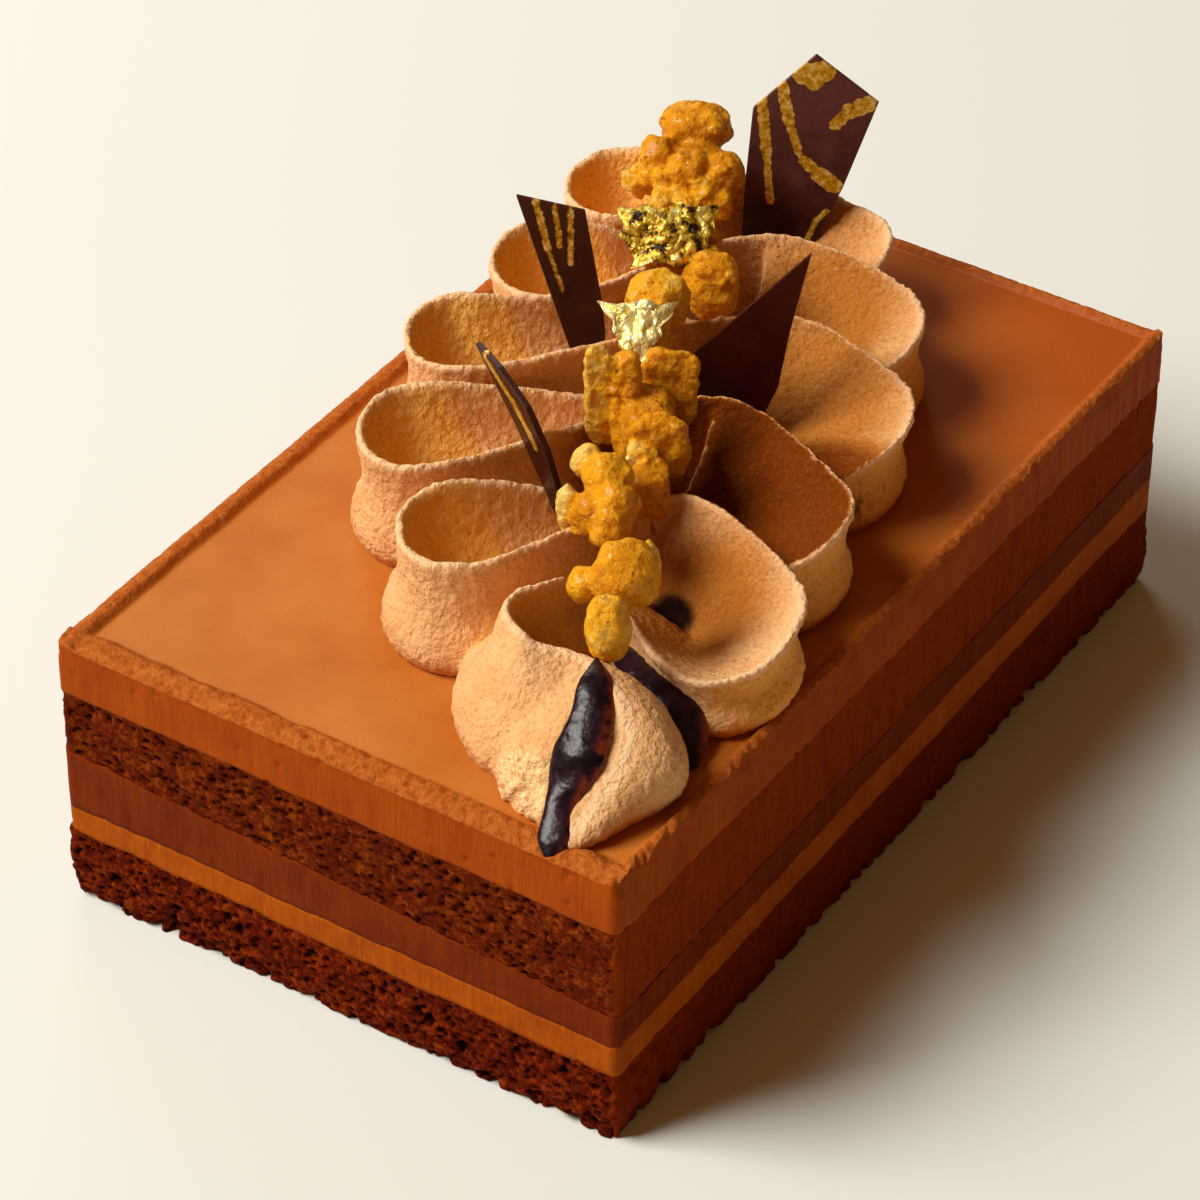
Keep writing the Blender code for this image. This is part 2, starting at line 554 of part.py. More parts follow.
(fill_x, fill_y), fill_sizes, fill_turn, (lean_x, lean_y) = FOLD_FILL
fill = bmesh.new()
bmesh.ops.create_icosphere(fill, subdivisions=3, radius=1.0)
turned = Matrix.Rotation(math.radians(fill_turn), 3, "Z")
for vert in fill.verts:
    level = max(vert.co.z, vert.co.z * 0.05)
    spot = turned @ Vector((vert.co.x * fill_sizes[0], vert.co.y * fill_sizes[1], 0.0))
    spot += Vector((fill_x + lean_x * level, fill_y + lean_y * level, fill_sizes[2] * level))
    vert.co = Vector((spot.x * MM, spot.y * MM, FOOT_HEIGHT + spot.z * MM))
add_object("fold_fill", mesh_from(fill, "fold_fill"), joined)


# ---- candied nut pieces ----
def lobe(spot, sizes, turn, tip, growth, seed):
    """A rounded lump with an uneven skin."""
    shape = bmesh.new()
    bmesh.ops.create_icosphere(shape, subdivisions=2, radius=1.0)
    place = Matrix.Rotation(math.radians(turn), 4, "Z") @ Matrix.Rotation(math.radians(tip), 4, "X")
    for vert in shape.verts:
        bumped = vert.co * (1 + NUT_BUMP * noise.noise(vert.co * 1.7 + Vector((seed, 0, 0))))
        sized = Vector(bumped[i] * (sizes[i] * MM + growth) for i in range(3))
        vert.co = place @ sized
        vert.co += Vector((spot[0] * MM, spot[1] * MM, FIELD_HEIGHT + spot[2] * MM))
    return shape


def keep_largest(item):
    """Drop loose crumbs and closed bubbles that joining and cutting leave behind."""
    shape = bmesh.new()
    shape.from_mesh(item.data)
    waiting = set(shape.verts)
    bodies = []
    while waiting:
        reached = {waiting.pop()}
        edge_of_reach = set(reached)
        while edge_of_reach:
            vert = edge_of_reach.pop()
            for edge in vert.link_edges:
                other = edge.other_vert(vert)
                if other not in reached:
                    reached.add(other)
                    edge_of_reach.add(other)
        waiting -= reached
        bodies.append(reached)
    bodies.sort(key=len)
    for body in bodies[:-1]:
        bmesh.ops.delete(shape, geom=list(body), context="VERTS")
    shape.to_mesh(item.data)
    shape.free()


def join_all(host, collection):
    """Join a collection's solids to the host, keep the result and drop the joined ones."""
    union = host.modifiers.new("join", "BOOLEAN")
    union.operation = "UNION"
    union.operand_type = "COLLECTION"
    union.collection = collection
    union.solver = "MANIFOLD"
    keep_evaluated(host)
    for item in list(collection.objects):
        bpy.data.objects.remove(item, do_unlink=True)


def gold_leaf(name, spot, across, along, turn, tip, taper, seed):
    """A crumpled flake with a little thickness."""
    shape = bmesh.new()
    bmesh.ops.create_grid(shape, x_segments=5, y_segments=4, size=0.5)
    for vert in shape.verts:
        x = vert.co.x * across * MM * (1 - taper * (0.5 - vert.co.y))
        y = vert.co.y * along * MM
        ripple = noise.noise(Vector((x, y, seed * MM)) / (2.4 * MM)) * LEAF_CRUMPLE
        droop = (x * x + y * y) / LEAF_DROOP
        vert.co = Vector((x, y, ripple - droop))
    thick = bmesh.ops.solidify(shape, geom=shape.faces, thickness=LEAF_THICKNESS)
    place = Matrix.Translation((spot[0] * MM, spot[1] * MM, FIELD_HEIGHT + spot[2] * MM))
    place = place @ Matrix.Rotation(math.radians(turn), 4, "Z")
    place = place @ Matrix.Rotation(math.radians(tip), 4, "X")
    bmesh.ops.transform(shape, matrix=place, verts=shape.verts)
    return add_object(name, mesh_from(shape, name), joined)


ruffle = joined.objects["ribbon_piece_00"]
joined.objects.unlink(ruffle)
cake.objects.link(ruffle)
ruffle.name = "cream_ruffle"
join_all(ruffle, joined)
keep_largest(ruffle)
ruffle.data.materials.clear()
ruffle.data.materials.append(cream)

seed = 0.0
for name, lobes in NUTS.items():
    host = None
    for number, (spot, sizes, turn, tip) in enumerate(lobes):
        seed += 3.7
        shape = lobe(spot, sizes, turn, tip, 0.0, seed)
        part_name = name if host is None else "%s_lobe_%d" % (name, number)
        part = add_object(part_name, mesh_from(shape, part_name), cake if host is None else joined)
        host = host or part
        shape = lobe(spot, sizes, turn, tip, NUT_SEAT_GROWTH, seed)
        seat_name = "%s_seat_%d" % (name, number)
        add_object(seat_name, mesh_from(shape, seat_name), cutters)
    if name in GOLD_LEAVES:
        gold_leaf(name + "_leaf", *GOLD_LEAVES[name])
    if joined.objects:
        join_all(host, joined)
    host.data.materials.clear()
    host.data.materials.append(caramel)


# ---- chocolate shards ----
def grown(corners, gap):
    """The outline with each edge moved outward by the gap."""
    count = len(corners)
    points = [Vector(corner) for corner in corners]
    moved = []
    for i in range(count):
        before = (points[i] - points[i - 1]).normalized()
        after = (points[(i + 1) % count] - points[i]).normalized()
        out_before = Vector((before.y, -before.x))
        out_after = Vector((after.y, -after.x))
        middle = (out_before + out_after).normalized()
        moved.append(points[i] + middle * gap / max(middle.dot(out_before), 0.5))
    return moved


def plate(spot, turn, tilt, corners, thickness):
    shape = bmesh.new()
    face = shape.faces.new([shape.verts.new((x * MM, -thickness / 2, y * MM)) for x, y in corners])
    extruded = bmesh.ops.extrude_face_region(shape, geom=[face])
    moved = [part for part in extruded["geom"] if isinstance(part, bmesh.types.BMVert)]
    bmesh.ops.translate(shape, verts=moved, vec=(0, thickness, 0))
    place = Matrix.Translation((spot[0] * MM, spot[1] * MM, FIELD_HEIGHT + spot[2] * MM))
    place = place @ Matrix.Rotation(math.radians(turn), 4, "Z")
    place = place @ Matrix.Rotation(math.radians(-tilt), 4, "X")
    bmesh.ops.transform(shape, matrix=place, verts=shape.verts)
    return shape


for name, (spot, turn, tilt, corners) in SHARDS.items():
    finish = plain_chocolate if name == "shard_right" else patterned_chocolate
    shape = plate(spot, turn, tilt, corners, SHARD_THICKNESS)
    add_object(name, mesh_from(shape, name), cake, finish)
    shape = plate(spot, turn, tilt, grown(corners, SHARD_SEAT_GAP / MM),
                  SHARD_THICKNESS + 2 * SHARD_SEAT_GAP)
    add_object(name + "_slot", mesh_from(shape, name + "_slot"), cutters)

# cut the underside, and press the seats of nuts and shards into the cream
for item in list(cutters.objects):
    seat = ruffle.modifiers.new("seat", "BOOLEAN")
    seat.operation = "DIFFERENCE"
    seat.object = item
    seat.solver = "MANIFOLD"
keep_evaluated(ruffle)
keep_largest(ruffle)
for item in list(cutters.objects):
    bpy.data.objects.remove(item, do_unlink=True)
bpy.data.collections.remove(cutters)

bpy.data.collections.remove(joined)
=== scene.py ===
import itertools
import math

import bmesh
import bpy
import numpy as np
from mathutils import Matrix, Vector
from mathutils.bvhtree import BVHTree
from mathutils.kdtree import KDTree


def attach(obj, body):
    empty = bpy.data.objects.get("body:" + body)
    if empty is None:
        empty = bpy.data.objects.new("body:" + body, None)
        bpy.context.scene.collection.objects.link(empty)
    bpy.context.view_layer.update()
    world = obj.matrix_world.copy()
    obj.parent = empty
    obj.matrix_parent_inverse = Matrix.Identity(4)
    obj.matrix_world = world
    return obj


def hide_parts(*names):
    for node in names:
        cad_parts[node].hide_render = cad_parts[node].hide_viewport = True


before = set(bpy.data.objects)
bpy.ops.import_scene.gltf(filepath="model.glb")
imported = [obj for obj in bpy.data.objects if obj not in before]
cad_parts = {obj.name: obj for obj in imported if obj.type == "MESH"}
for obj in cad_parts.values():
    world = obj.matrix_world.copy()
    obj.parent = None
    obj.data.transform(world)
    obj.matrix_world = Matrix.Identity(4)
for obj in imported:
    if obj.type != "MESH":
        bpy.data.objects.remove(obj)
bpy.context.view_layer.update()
MM = 0.001

# ---- bottom sponge ----
# A sheet of coarse, dark chocolate sponge. It was baked flat, stacked with the other layers
# and cut through with them, so its cut sides show open crumb and its lower edge is torn.
CAKE_WIDTH, CAKE_LENGTH = 80.4, 130.0
CORNER_ROUND = 1.2
CORNER_POINTS = 7
CUT_STEP = 0.36                 # spacing of the points along a cut side
BASE_TOP = (10.7, 10.3, 12.1)   # height at the front left, front right and back right corner
BASE_ROWS = 34                  # rings of points up the side
BASE_BOW, BASE_INSET = 0.42, 0.1        # its side bows out, and stands back a little
PORE_DEPTH, HOLE_DEPTH, NOTCH_DEPTH = 0.55, 0.8, 1.5
TORN_HEIGHT = 4.0               # the lower edge is torn up to here
BASE_CRUMB_LIMIT = 0.62         # crumbs stand out no further than this
CELLS = 512                     # different cells that grains and pores are made of

GRAIN_SLOPES = np.random.default_rng(11).normal(size=(CELLS, 3))
GRAIN_SLOPES /= np.linalg.norm(GRAIN_SLOPES, axis=1, keepdims=True)
PORE_PLACES = np.random.default_rng(5).random((CELLS, 3))


def cell_number(cell):
    blend = cell[:, 0] * 73856093 ^ cell[:, 1] * 19349663 ^ cell[:, 2] * 83492791
    return (blend ^ (blend >> 9)) & (CELLS - 1)


def grain(spots, size, seed):
    """Smooth uneven values from about -1 to 1 at each spot; size is one grain's width in mm."""
    place = np.asarray(spots, float) / np.asarray(size, float) + seed * 17.31
    cell = np.floor(place).astype(np.int64)
    part = place - cell
    ease = part * part * part * (part * (part * 6 - 15) + 10)
    total = np.zeros(len(place))
    for corner in itertools.product((0, 1), repeat=3):
        corner = np.array(corner)
        weight = np.prod(np.where(corner, ease, 1 - ease), axis=1)
        slope = GRAIN_SLOPES[cell_number(cell + corner)]
        total += weight * (slope * (part - corner)).sum(axis=1)
    return total * 1.7


def grains(spots, *rows):
    """Grains of several sizes together; a row is how high they stand, their width and seed."""
    return sum(height * grain(spots, size, seed) for height, size, seed in rows)


def rise(low, high, value):
    """0 below low, 1 above high, smooth between; also works downwards."""
    share = np.clip((value - low) / (high - low), 0, 1)
    return share * share * (3 - 2 * share)


def pores(spots, size, seed, edge, middle):
    """1 inside a pore and 0 between them; its edge and middle are shares of their spacing."""
    place = np.asarray(spots, float) / np.asarray(size, float) + seed * 9.17
    cell = np.floor(place).astype(np.int64)
    nearest = np.full(len(place), 9.0)
    for step in itertools.product((-1, 0, 1), repeat=3):
        near = cell + np.array(step)
        away = near + PORE_PLACES[cell_number(near)] - place
        nearest = np.minimum(nearest, np.sqrt((away * away).sum(axis=1)))
    return rise(edge, middle, nearest)


def cut_outline(inset):
    """Points round the cut cake, inset by so many mm, and their outward directions."""
    x_far, y_far = CAKE_WIDTH / 2 - inset, CAKE_LENGTH / 2 - inset
    centres = ((-x_far, -y_far, 180), (x_far, -y_far, 270), (x_far, y_far, 0), (-x_far, y_far, 90))
    points, outward = [], []
    for i, (corner_x, corner_y, start) in enumerate(centres):
        inside = (corner_x - math.copysign(CORNER_ROUND, corner_x),
                  corner_y - math.copysign(CORNER_ROUND, corner_y))
        turn = np.radians(start + np.linspace(0, 90, CORNER_POINTS))
        arc = np.stack([np.cos(turn), np.sin(turn)], axis=1)
        points.append(arc * CORNER_ROUND + inside)
        outward.append(arc)
        next_x, next_y = centres[(i + 1) % 4][:2]
        count = round((CAKE_LENGTH if i % 2 else CAKE_WIDTH) / CUT_STEP)
        along = np.array([next_x - corner_x, next_y - corner_y])
        length = np.linalg.norm(along) - 2 * CORNER_ROUND
        along = along / np.linalg.norm(along)
        shares = np.arange(1, count) / count
        points.append(points[-1][-1] + shares[:, None] * length * along)
        outward.append(np.tile(arc[-1], (count - 1, 1)))
    return np.concatenate(points), np.concatenate(outward)


OUTLINE, OUTWARD = cut_outline(0)
OUTLINE_SPOTS = np.column_stack([OUTLINE, np.zeros(len(OUTLINE))])
RIGHT_SIDE = rise(0.3, 0.8, OUTWARD[:, 0])


def cut_height(corners, seed):
    """Height of a boundary round the outline, a little wavy as layers are."""
    left, right, back = corners
    x, y = OUTLINE.T
    flat = (left + back) / 2 + (right - left) / CAKE_WIDTH * x + (back - right) / CAKE_LENGTH * y
    return flat + grains(OUTLINE_SPOTS, (0.28, 8.0, seed), (0.14, 2.2, seed))


def side_rings(low, high, rows, push):
    """Rings up a cut side; push(spots, share) says how far each point stands out, and its pit."""
    rings, pits = [], []
    for share in np.linspace(0, 1, rows):
        height = low + (high - low) * share
        out, pit = push(np.column_stack([OUTLINE, height]), share)
        rings.append(np.column_stack([OUTLINE + OUTWARD * out[:, None], height]))
        pits.append(pit)
    return rings, pits


def put(name, data):
    """A new object in the scene."""
    item = bpy.data.objects.new(name, data)
    bpy.context.scene.collection.objects.link(item)
    return item


def solid_piece(name, points, faces):
    """A new object from points in mm."""
    mesh = bpy.data.meshes.new(name)
    mesh.from_pydata((points * MM).tolist(), [], faces)
    return put(name, mesh)


def mark(item, name, value):
    """Write a value on each point of a piece, for its finish to read."""
    layer = item.data.attributes.new(name, "FLOAT", "POINT")
    layer.data.foreach_set("value", value.astype(np.float32))


def ring_faces(count, rows):
    """The faces between rings of count points each."""
    low = np.arange(count)
    high = (low + 1) % count
    return np.concatenate([np.stack([first + low, first + high, first + count + high,
                                     first + count + low], 1)
                           for first in range(0, (rows - 1) * count, count)]).tolist()


def skin(name, rings, **values):
    """A closed mesh from rings of points in mm, with a fan at each end, and a value per point."""
    count, last = len(rings[0]), (len(rings) - 1) * len(rings[0])
    points = np.concatenate([*rings, rings[0].mean(0)[None], rings[-1].mean(0)[None]])
    low = np.arange(count)
    high = (low + 1) % count
    bottom = np.stack([high, low, np.full(count, last + count)], 1).tolist()
    top = np.stack([low + last, high + last, np.full(count, last + count + 1)], 1).tolist()
    item = solid_piece(name, points, ring_faces(count, len(rings)) + bottom + top)
    item.data.shade_smooth()
    for value_name, value in values.items():
        mark(item, value_name, np.concatenate([*value, [value[0].mean(), value[-1].mean()]]))
    return item


def cut_layer(name, low, high, rows, push):
    rings, pits = side_rings(low, high, rows, push)
    return skin(name, rings) if pits[0] is None else skin(name, rings, pit=pits)


def feed(node, inputs):
    """Set or link a node's sockets."""
    for name, value in inputs.items():
        socket = node.inputs[name]
        if isinstance(value, Wire):
            node.id_data.links.new(value.socket, socket)
        elif socket.type == "RGBA":
            socket.default_value = (*value, 1.0)
        else:
            socket.default_value = value


class Wire:
    """A socket of a finish; arithmetic on it adds Math nodes, fed() adds any other node."""

    def __init__(self, socket):
        self.socket = socket

    def fed(self, kind, settings, inputs, output=0):
        """A node: its settings first, then the values or links of its sockets."""
        node = self.socket.id_data.nodes.new(kind)
        for name, value in settings.items():
            if name == "stops":
                stops = node.color_ramp.elements
                while len(stops) < len(value):
                    stops.new(0.5)
                for stop, (position, colour) in zip(stops, value):
                    stop.position = position
                    stop.color = (*colour, 1.0)
            else:
                setattr(node, name, value)
        feed(node, inputs)
        return Wire(node.outputs[output])

    def _math(self, operation, first, second):
        return self.fed("ShaderNodeMath", {"operation": operation}, {0: first, 1: second})

    def __add__(self, other):
        return self._math("ADD", self, other)

    __radd__ = __add__

    def __sub__(self, other):
        return self._math("SUBTRACT", self, other)

    def __rsub__(self, other):
        return self._math("SUBTRACT", other, self)

    def __mul__(self, other):
        return self._math("MULTIPLY", self, other)

    __rmul__ = __mul__


def finish(name):
    """A new material, its place in mm, and its shader's node."""
    made = bpy.data.materials.new(name)
    made.use_nodes = True
    nodes = made.node_tree.nodes
    place = Wire(nodes.new("ShaderNodeTexCoord").outputs["Object"])
    place = place.fed("ShaderNodeVectorMath", {"operation": "SCALE"}, {0: place, "Scale": 1 / MM})
    return made, place, nodes["Principled BSDF"]


def connect(shader, **inputs):
    """Set or link the shader's own sockets; underscores stand for spaces."""
    feed(shader, {name.replace("_", " "): value for name, value in inputs.items()})


def axis(vector, letter):
    return vector.fed("ShaderNodeSeparateXYZ", {}, {0: vector}, letter)


def marked(place, name):
    """The value that mark() wrote on the piece's points."""
    return place.fed("ShaderNodeAttribute", {"attribute_name": name}, {}, "Fac")


def cloud(place, size, detail=3.0, roughness=0.55, stretch=None):
    """Uneven values round 0.5; size is a grain's width in mm."""
    if stretch:
        place = place.fed("ShaderNodeVectorMath", {"operation": "MULTIPLY"}, {0: place, 1: stretch})
    return place.fed("ShaderNodeTexNoise", {}, {"Vector": place, "Scale": 1.0 / size,
                                                "Detail": detail, "Roughness": roughness})


def ramp(value, *stops):
    return value.fed("ShaderNodeValToRGB", {"stops": stops}, {"Fac": value})


def between(value, low, high, first=0.0, last=1.0):
    """first where value is at low, last where it is at high."""
    return value.fed("ShaderNodeMapRange", {}, {"Value": value, "From Min": low, "From Max": high,
                                                "To Min": first, "To Max": last})


def mixed(share, first, second):
    """Two colours mixed by a share."""
    return share.fed("ShaderNodeMix", {"data_type": "RGBA"}, {0: share, 6: first, 7: second}, 2)


def tinted(colour, *coats):
    """A colour under coats of others; a coat is how much of it shows, and its own colour."""
    for share, tint in coats:
        colour = mixed(share, colour, tint)
    return colour


def bumped(height, distance):
    return height.fed("ShaderNodeBump", {}, {"Height": height, "Distance": distance * MM})


def dress(item, made, node_name):
    """Give a piece its finish and let it stand for its CAD node."""
    item.data.materials.clear()
    item.data.materials.append(made)
    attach(item, "root")
    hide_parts(node_name)


def base_crumb(spots, share):
    bow = BASE_BOW * math.sin(math.pi * min(share / 0.9, 1.0)) - BASE_INSET
    torn = rise(TORN_HEIGHT, 0.0, spots[:, 2])
    lumps = grains(spots, (0.34, 3.1, 1), (0.26, 1.3, 2))
    small = pores(spots, (1.15, 1.15, 0.95), 1, 0.50, 0.16)
    holes = pores(spots, 2.6, 2, 0.42, 0.20) * rise(-0.2, 0.3, grain(spots, 6.0, 3))
    smooth = 1 - 0.6 * RIGHT_SIDE
    notches = rise(0.0, 0.7, grain(spots * (1, 1, 0.6), 2.4, 4))
    out = bow + lumps * smooth - (PORE_DEPTH * small + HOLE_DEPTH * holes) * smooth
    out = out - torn * (NOTCH_DEPTH * notches + 0.3)
    return np.minimum(out, BASE_CRUMB_LIMIT - 0.25 * torn), np.maximum(small, holes) * smooth


base_top = cut_height(BASE_TOP, 1)
sponge_base = cut_layer("bottom_sponge", OUTLINE_SPOTS[:, 2], base_top, BASE_ROWS, base_crumb)


def crumb_finish(name, dark, middle, light, painted_pore_shade, smear):
    """Open crumb, with painted shade in its pores; smear is its colour on the right side,
    where the warm knife closed it.
    """
    made, place, shader = finish(name)
    fine = cloud(place, 0.75, 4.0, 0.65)
    patch = cloud(place, 3.2)
    colour = ramp(between(fine + patch * 0.45, 0.50, 0.94), (0.0, dark), (0.5, middle),
                  (1.0, light))
    right_face = between(axis(place, "X"), CAKE_WIDTH / 2 - 1.2, CAKE_WIDTH / 2 - 0.5)
    strokes = between(cloud(place, 0.9, 3.0, 0.6, (1, 1, 0.15)), 0.3, 0.6, 0.45, 0.95)
    # the pores get painted near-black shade, darkest where they are deepest
    colour = tinted(colour, (between(marked(place, "pit"), 0.15, 0.8), painted_pore_shade),
                    (right_face * strokes, smear))
    connect(shader, Base_Color=colour, Normal=bumped(cloud(place, 0.4, 5.0, 0.7), 0.5),
            Roughness=0.9, Specular_IOR_Level=0.04)
    return made


base_crumb_finish = crumb_finish(
    "dark_coarse_crumb", dark=(0.055, 0.003, 0.0005), middle=(0.140, 0.010, 0.0008),
    light=(0.36, 0.050, 0.002), painted_pore_shade=(0.012, 0.0006, 0.0003), smear=(0.26, 0.026, 0.0008))
dress(sponge_base, base_crumb_finish, "sponge_base")

# ---- praline cream ----
# A thin band of caramel-coloured praline cream, spread over the bottom sponge. The cutting
# knife leaves it smooth, with faint upright drag marks.
PRALINE_TOP = (14.5, 14.7, 17.4)
PRALINE_ROWS = 9


def spread_cream(spots, share):
    marks = grains(spots, (0.05, (1.6, 1.6, 14.0), 6), (0.08, 5.0, 7))
    dents = 0.12 * pores(spots, (3.4, 3.4, 2.2), 8, 0.35, 0.12)
    return marks - 0.05 - dents, None


def knife_finish(name, dark, light, streak):
    """Cream that the knife has drawn up and down."""
    made, place, shader = finish(name)
    drag = cloud(place, 1.0, 3.0, 0.6, (0.8, 0.8, 0.10))
    colour = mixed(between(drag + cloud(place, 6.0), 0.75, 1.25), dark, light)
    streaks = cloud(place, 0.5, 3.0, 0.6, (1, 1, 0.2))
    colour = mixed(between(streaks, 0.58, 0.8), colour, streak)
    connect(shader, Base_Color=colour, Normal=bumped(drag + 0.4 * cloud(place, 0.35), 0.18),
            Roughness=0.6, Specular_IOR_Level=0.04)
    return made


praline_top = cut_height(PRALINE_TOP, 2)
praline_layer = cut_layer("praline_cream_band", base_top, praline_top, PRALINE_ROWS, spread_cream)
praline_finish = knife_finish("caramel_praline", dark=(0.32, 0.056, 0.001),
                              light=(0.42, 0.084, 0.0015), streak=(0.52, 0.135, 0.006))
dress(praline_layer, praline_finish, "praline_layer")

# ---- dark ganache ----
# A thick band of dark chocolate cream above the praline. It was spread smooth and set firm, so
# it has hardly a dent; the knife has drawn a little of it up and down the cut.
GANACHE_TOP = (23.4, 19.4, 22.2)
GANACHE_ROWS = 12
ganache_top = cut_height(GANACHE_TOP, 3)
ganache_layer = cut_layer("ganache_band", praline_top, ganache_top, GANACHE_ROWS, spread_cream)
ganache_finish = knife_finish("dark_smooth_ganache", dark=(0.14, 0.016, 0.0004),
                              light=(0.20, 0.026, 0.0006), streak=(0.25, 0.038, 0.001))
dress(ganache_layer, ganache_finish, "ganache_layer")

# ---- upper sponge ----
# A second sheet of chocolate sponge, finer than the bottom one and cut flush. The long right
# side was smeared by the warm knife, so the crumb there is half closed.
SPONGE_TOP = (32.6, 32.3, 32.5)
SPONGE_ROWS = 34
SPONGE_PORE_DEPTH = 0.62


def upper_crumb(spots, share):
    lumps = grains(spots, (0.13, 2.4, 11), (0.10, 1.0, 12))
    crowd = rise(-0.7, 0.1, grain(spots, 7.0, 14))
    smooth = 1 - 0.8 * RIGHT_SIDE
    depth = pores(spots, (1.3, 1.3, 0.95), 13, 0.46, 0.18) * (0.35 + 0.65 * crowd) * smooth
    strokes = 0.14 * RIGHT_SIDE * grain(spots, (1.0, 1.0, 9.0), 15)
    return lumps * smooth + strokes - 0.1 - SPONGE_PORE_DEPTH * depth, depth


sponge_top = cut_height(SPONGE_TOP, 4)
sponge_upper = cut_layer("upper_sponge", ganache_top, sponge_top, SPONGE_ROWS, upper_crumb)
upper_crumb_finish = crumb_finish(
    "fine_brown_crumb", dark=(0.075, 0.005, 0.0005), middle=(0.150, 0.015, 0.0008),
    light=(0.34, 0.062, 0.003), painted_pore_shade=(0.016, 0.0008, 0.0003), smear=(0.36, 0.048, 0.0010))
dress(sponge_upper, upper_crumb_finish, "sponge_upper")

# ---- milk chocolate mousse ----
# The top layer, set in a frame: its surface dried into a satin skin, and where it clung to
# the frame it stands up as a rough rim, wide and torn at the front, ragged along the right.
EDGE_HEIGHT, RIM_HEIGHT, FIELD_HEIGHT = 39.4, 40.1, 39.2
WALL_TOP, WALL_ROWS = 38.95, 19         # the upright side ends just below the edge
RIM_CREST = (1.4, 2.2, 1.0, 1.0)        # inset of the rim's crest: left, front, right, back
RIM_FOOT = (3.2, 4.5, 2.0, 2.0)         # inset of the rim's inner foot
RIM_WANDER = (0.5, 1.0, 0.5, 0.5)       # how much its inner edge wanders
PUSH_FADE, TEAR_FADE = 1.5, 2.2         # how far in the side's unevenness and its tears reach
INSETS = (0.0, 0.15, 0.35, 0.6, 0.9, 1.2, 1.5, 1.8, 2.1, 2.4, 2.7, 3.0, 3.3, 3.6, 3.9, 4.2, 4.5,
          4.8, 5.2, 5.8, 6.6, 8.0, 10.0, 13.0, 17.0, 22.0, 28.0, 34.0, 38.5)


def mousse_height(x, y):
    """Height of the mousse's surface, and how much of the rough rim is there."""
    spots = np.column_stack([x, y, np.zeros(len(x))])
    height = FIELD_HEIGHT + 0.05 * grain(spots, 14.0, 21)
    rough = np.zeros(len(x))
    wander = grains(spots, (0.35, 5.0, 22), (0.2, 1.6, 23))
    distances = (x + CAKE_WIDTH / 2, y + CAKE_LENGTH / 2, CAKE_WIDTH / 2 - x, CAKE_LENGTH / 2 - y)
    for distance, crest, foot, share in zip(distances, RIM_CREST, RIM_FOOT, RIM_WANDER):
        rim = rise(foot, crest + 0.35 * (foot - crest), distance + wander * share)
        level = EDGE_HEIGHT + (RIM_HEIGHT - EDGE_HEIGHT) * rise(-0.3, crest, distance)
        height = np.maximum(height, FIELD_HEIGHT + (level - FIELD_HEIGHT) * rim)
        rough = np.maximum(rough, rim)
    lumps = grains(spots, (0.16, 1.5, 24), (0.15, 0.8, 25))
    dents = 0.3 * pores(spots, 1.3, 26, 0.42, 0.15)
    front = rise(9.0, 4.0, distances[1])
    return height + rough * (lumps - dents) * (0.45 + 0.55 * front), rough


def mousse_side(spots, share):
    smooth = grains(spots, (0.05, 4.0, 27), (0.03, (1.2, 1.2, 8.0), 28))
    strokes = RIGHT_SIDE * grains(spots, (0.16, (1.1, 1.1, 7.0), 29), (0.10, (0.6, 0.6, 2.4), 30))
    bubbles = 0.25 * pores(spots, 3.2, 31, 0.20, 0.08)
    upper = rise(0.72, 1.0, share)
    ragged = 0.35 * upper * RIGHT_SIDE * grain(spots, (2.4, 2.4, 3.0), 32)
    return smooth + strokes + ragged - bubbles - 0.12 * upper, None


serrated = RIGHT_SIDE * (0.55 * np.abs(grain(OUTLINE_SPOTS, 2.1, 33))
                         + 0.25 * grain(OUTLINE_SPOTS, 0.8, 34))
rings = side_rings(sponge_top, WALL_TOP + serrated * 0.5, WALL_ROWS, mousse_side)[0]
roughs = [np.zeros(len(OUTLINE))] * len(rings)
edge_push = rings[-1][:, :2] - OUTLINE
for inset in INSETS:
    plan = cut_outline(inset)[0] + edge_push * max(0.0, 1 - inset / PUSH_FADE)
    height, rough = mousse_height(plan[:, 0], plan[:, 1])
    rings.append(np.column_stack([plan, height + serrated * max(0.0, 1 - inset / TEAR_FADE)]))
    roughs.append(rough)
mousse = skin("mousse_with_rim", rings, rough_rim=roughs)

mousse_finish, place, shader = finish("satin_milk_mousse")
rim_share = marked(place, "rough_rim")
up = axis(place.fed("ShaderNodeNewGeometry", {}, {}, "Normal"), "Z")
field_share = between(up, 0.5, 0.85) * (1 - rim_share)
drag = cloud(place, 1.0, 3.0, 0.6, (0.9, 0.9, 0.12))
patch = cloud(place, 9.0)
side_colour = mixed(between(drag + patch, 0.7, 1.3), (0.30, 0.044, 0.0006), (0.39, 0.068, 0.001))
rim_colour = mixed(between(cloud(place, 0.9), 0.35, 0.68), (0.40, 0.085, 0.009),
                   (0.56, 0.155, 0.025))
field_colour = mixed(between(patch, 0.3, 0.7), (0.48, 0.130, 0.013), (0.56, 0.180, 0.028))
# painted shade: the field is painted darker towards the back right, where the light falls off
back_right = between(axis(place, "X") + axis(place, "Y"), 30.0, 90.0)
specks = between(cloud(place, 0.8, 2.0), 0.70, 0.78)
field_colour = tinted(field_colour, (back_right * 0.8, (0.36, 0.055, 0.001)),
                      (specks * 0.5, (0.30, 0.05, 0.004)))
colour = mixed(between(up, 0.25, 0.6), side_colour, mixed(rim_share, field_colour, rim_colour))
small_lumps = cloud(place, 0.45, 4.0, 0.6)
normal = bumped(small_lumps * (0.15 + 0.7 * rim_share) + drag * (1 - field_share) * 0.5, 0.35)
connect(shader, Base_Color=colour, Normal=normal, Specular_IOR_Level=0.05,
        Roughness=0.62 - field_share * 0.14, Coat_Weight=field_share * 0.28, Coat_Roughness=0.42)
dress(mousse, mousse_finish, "mousse_top")

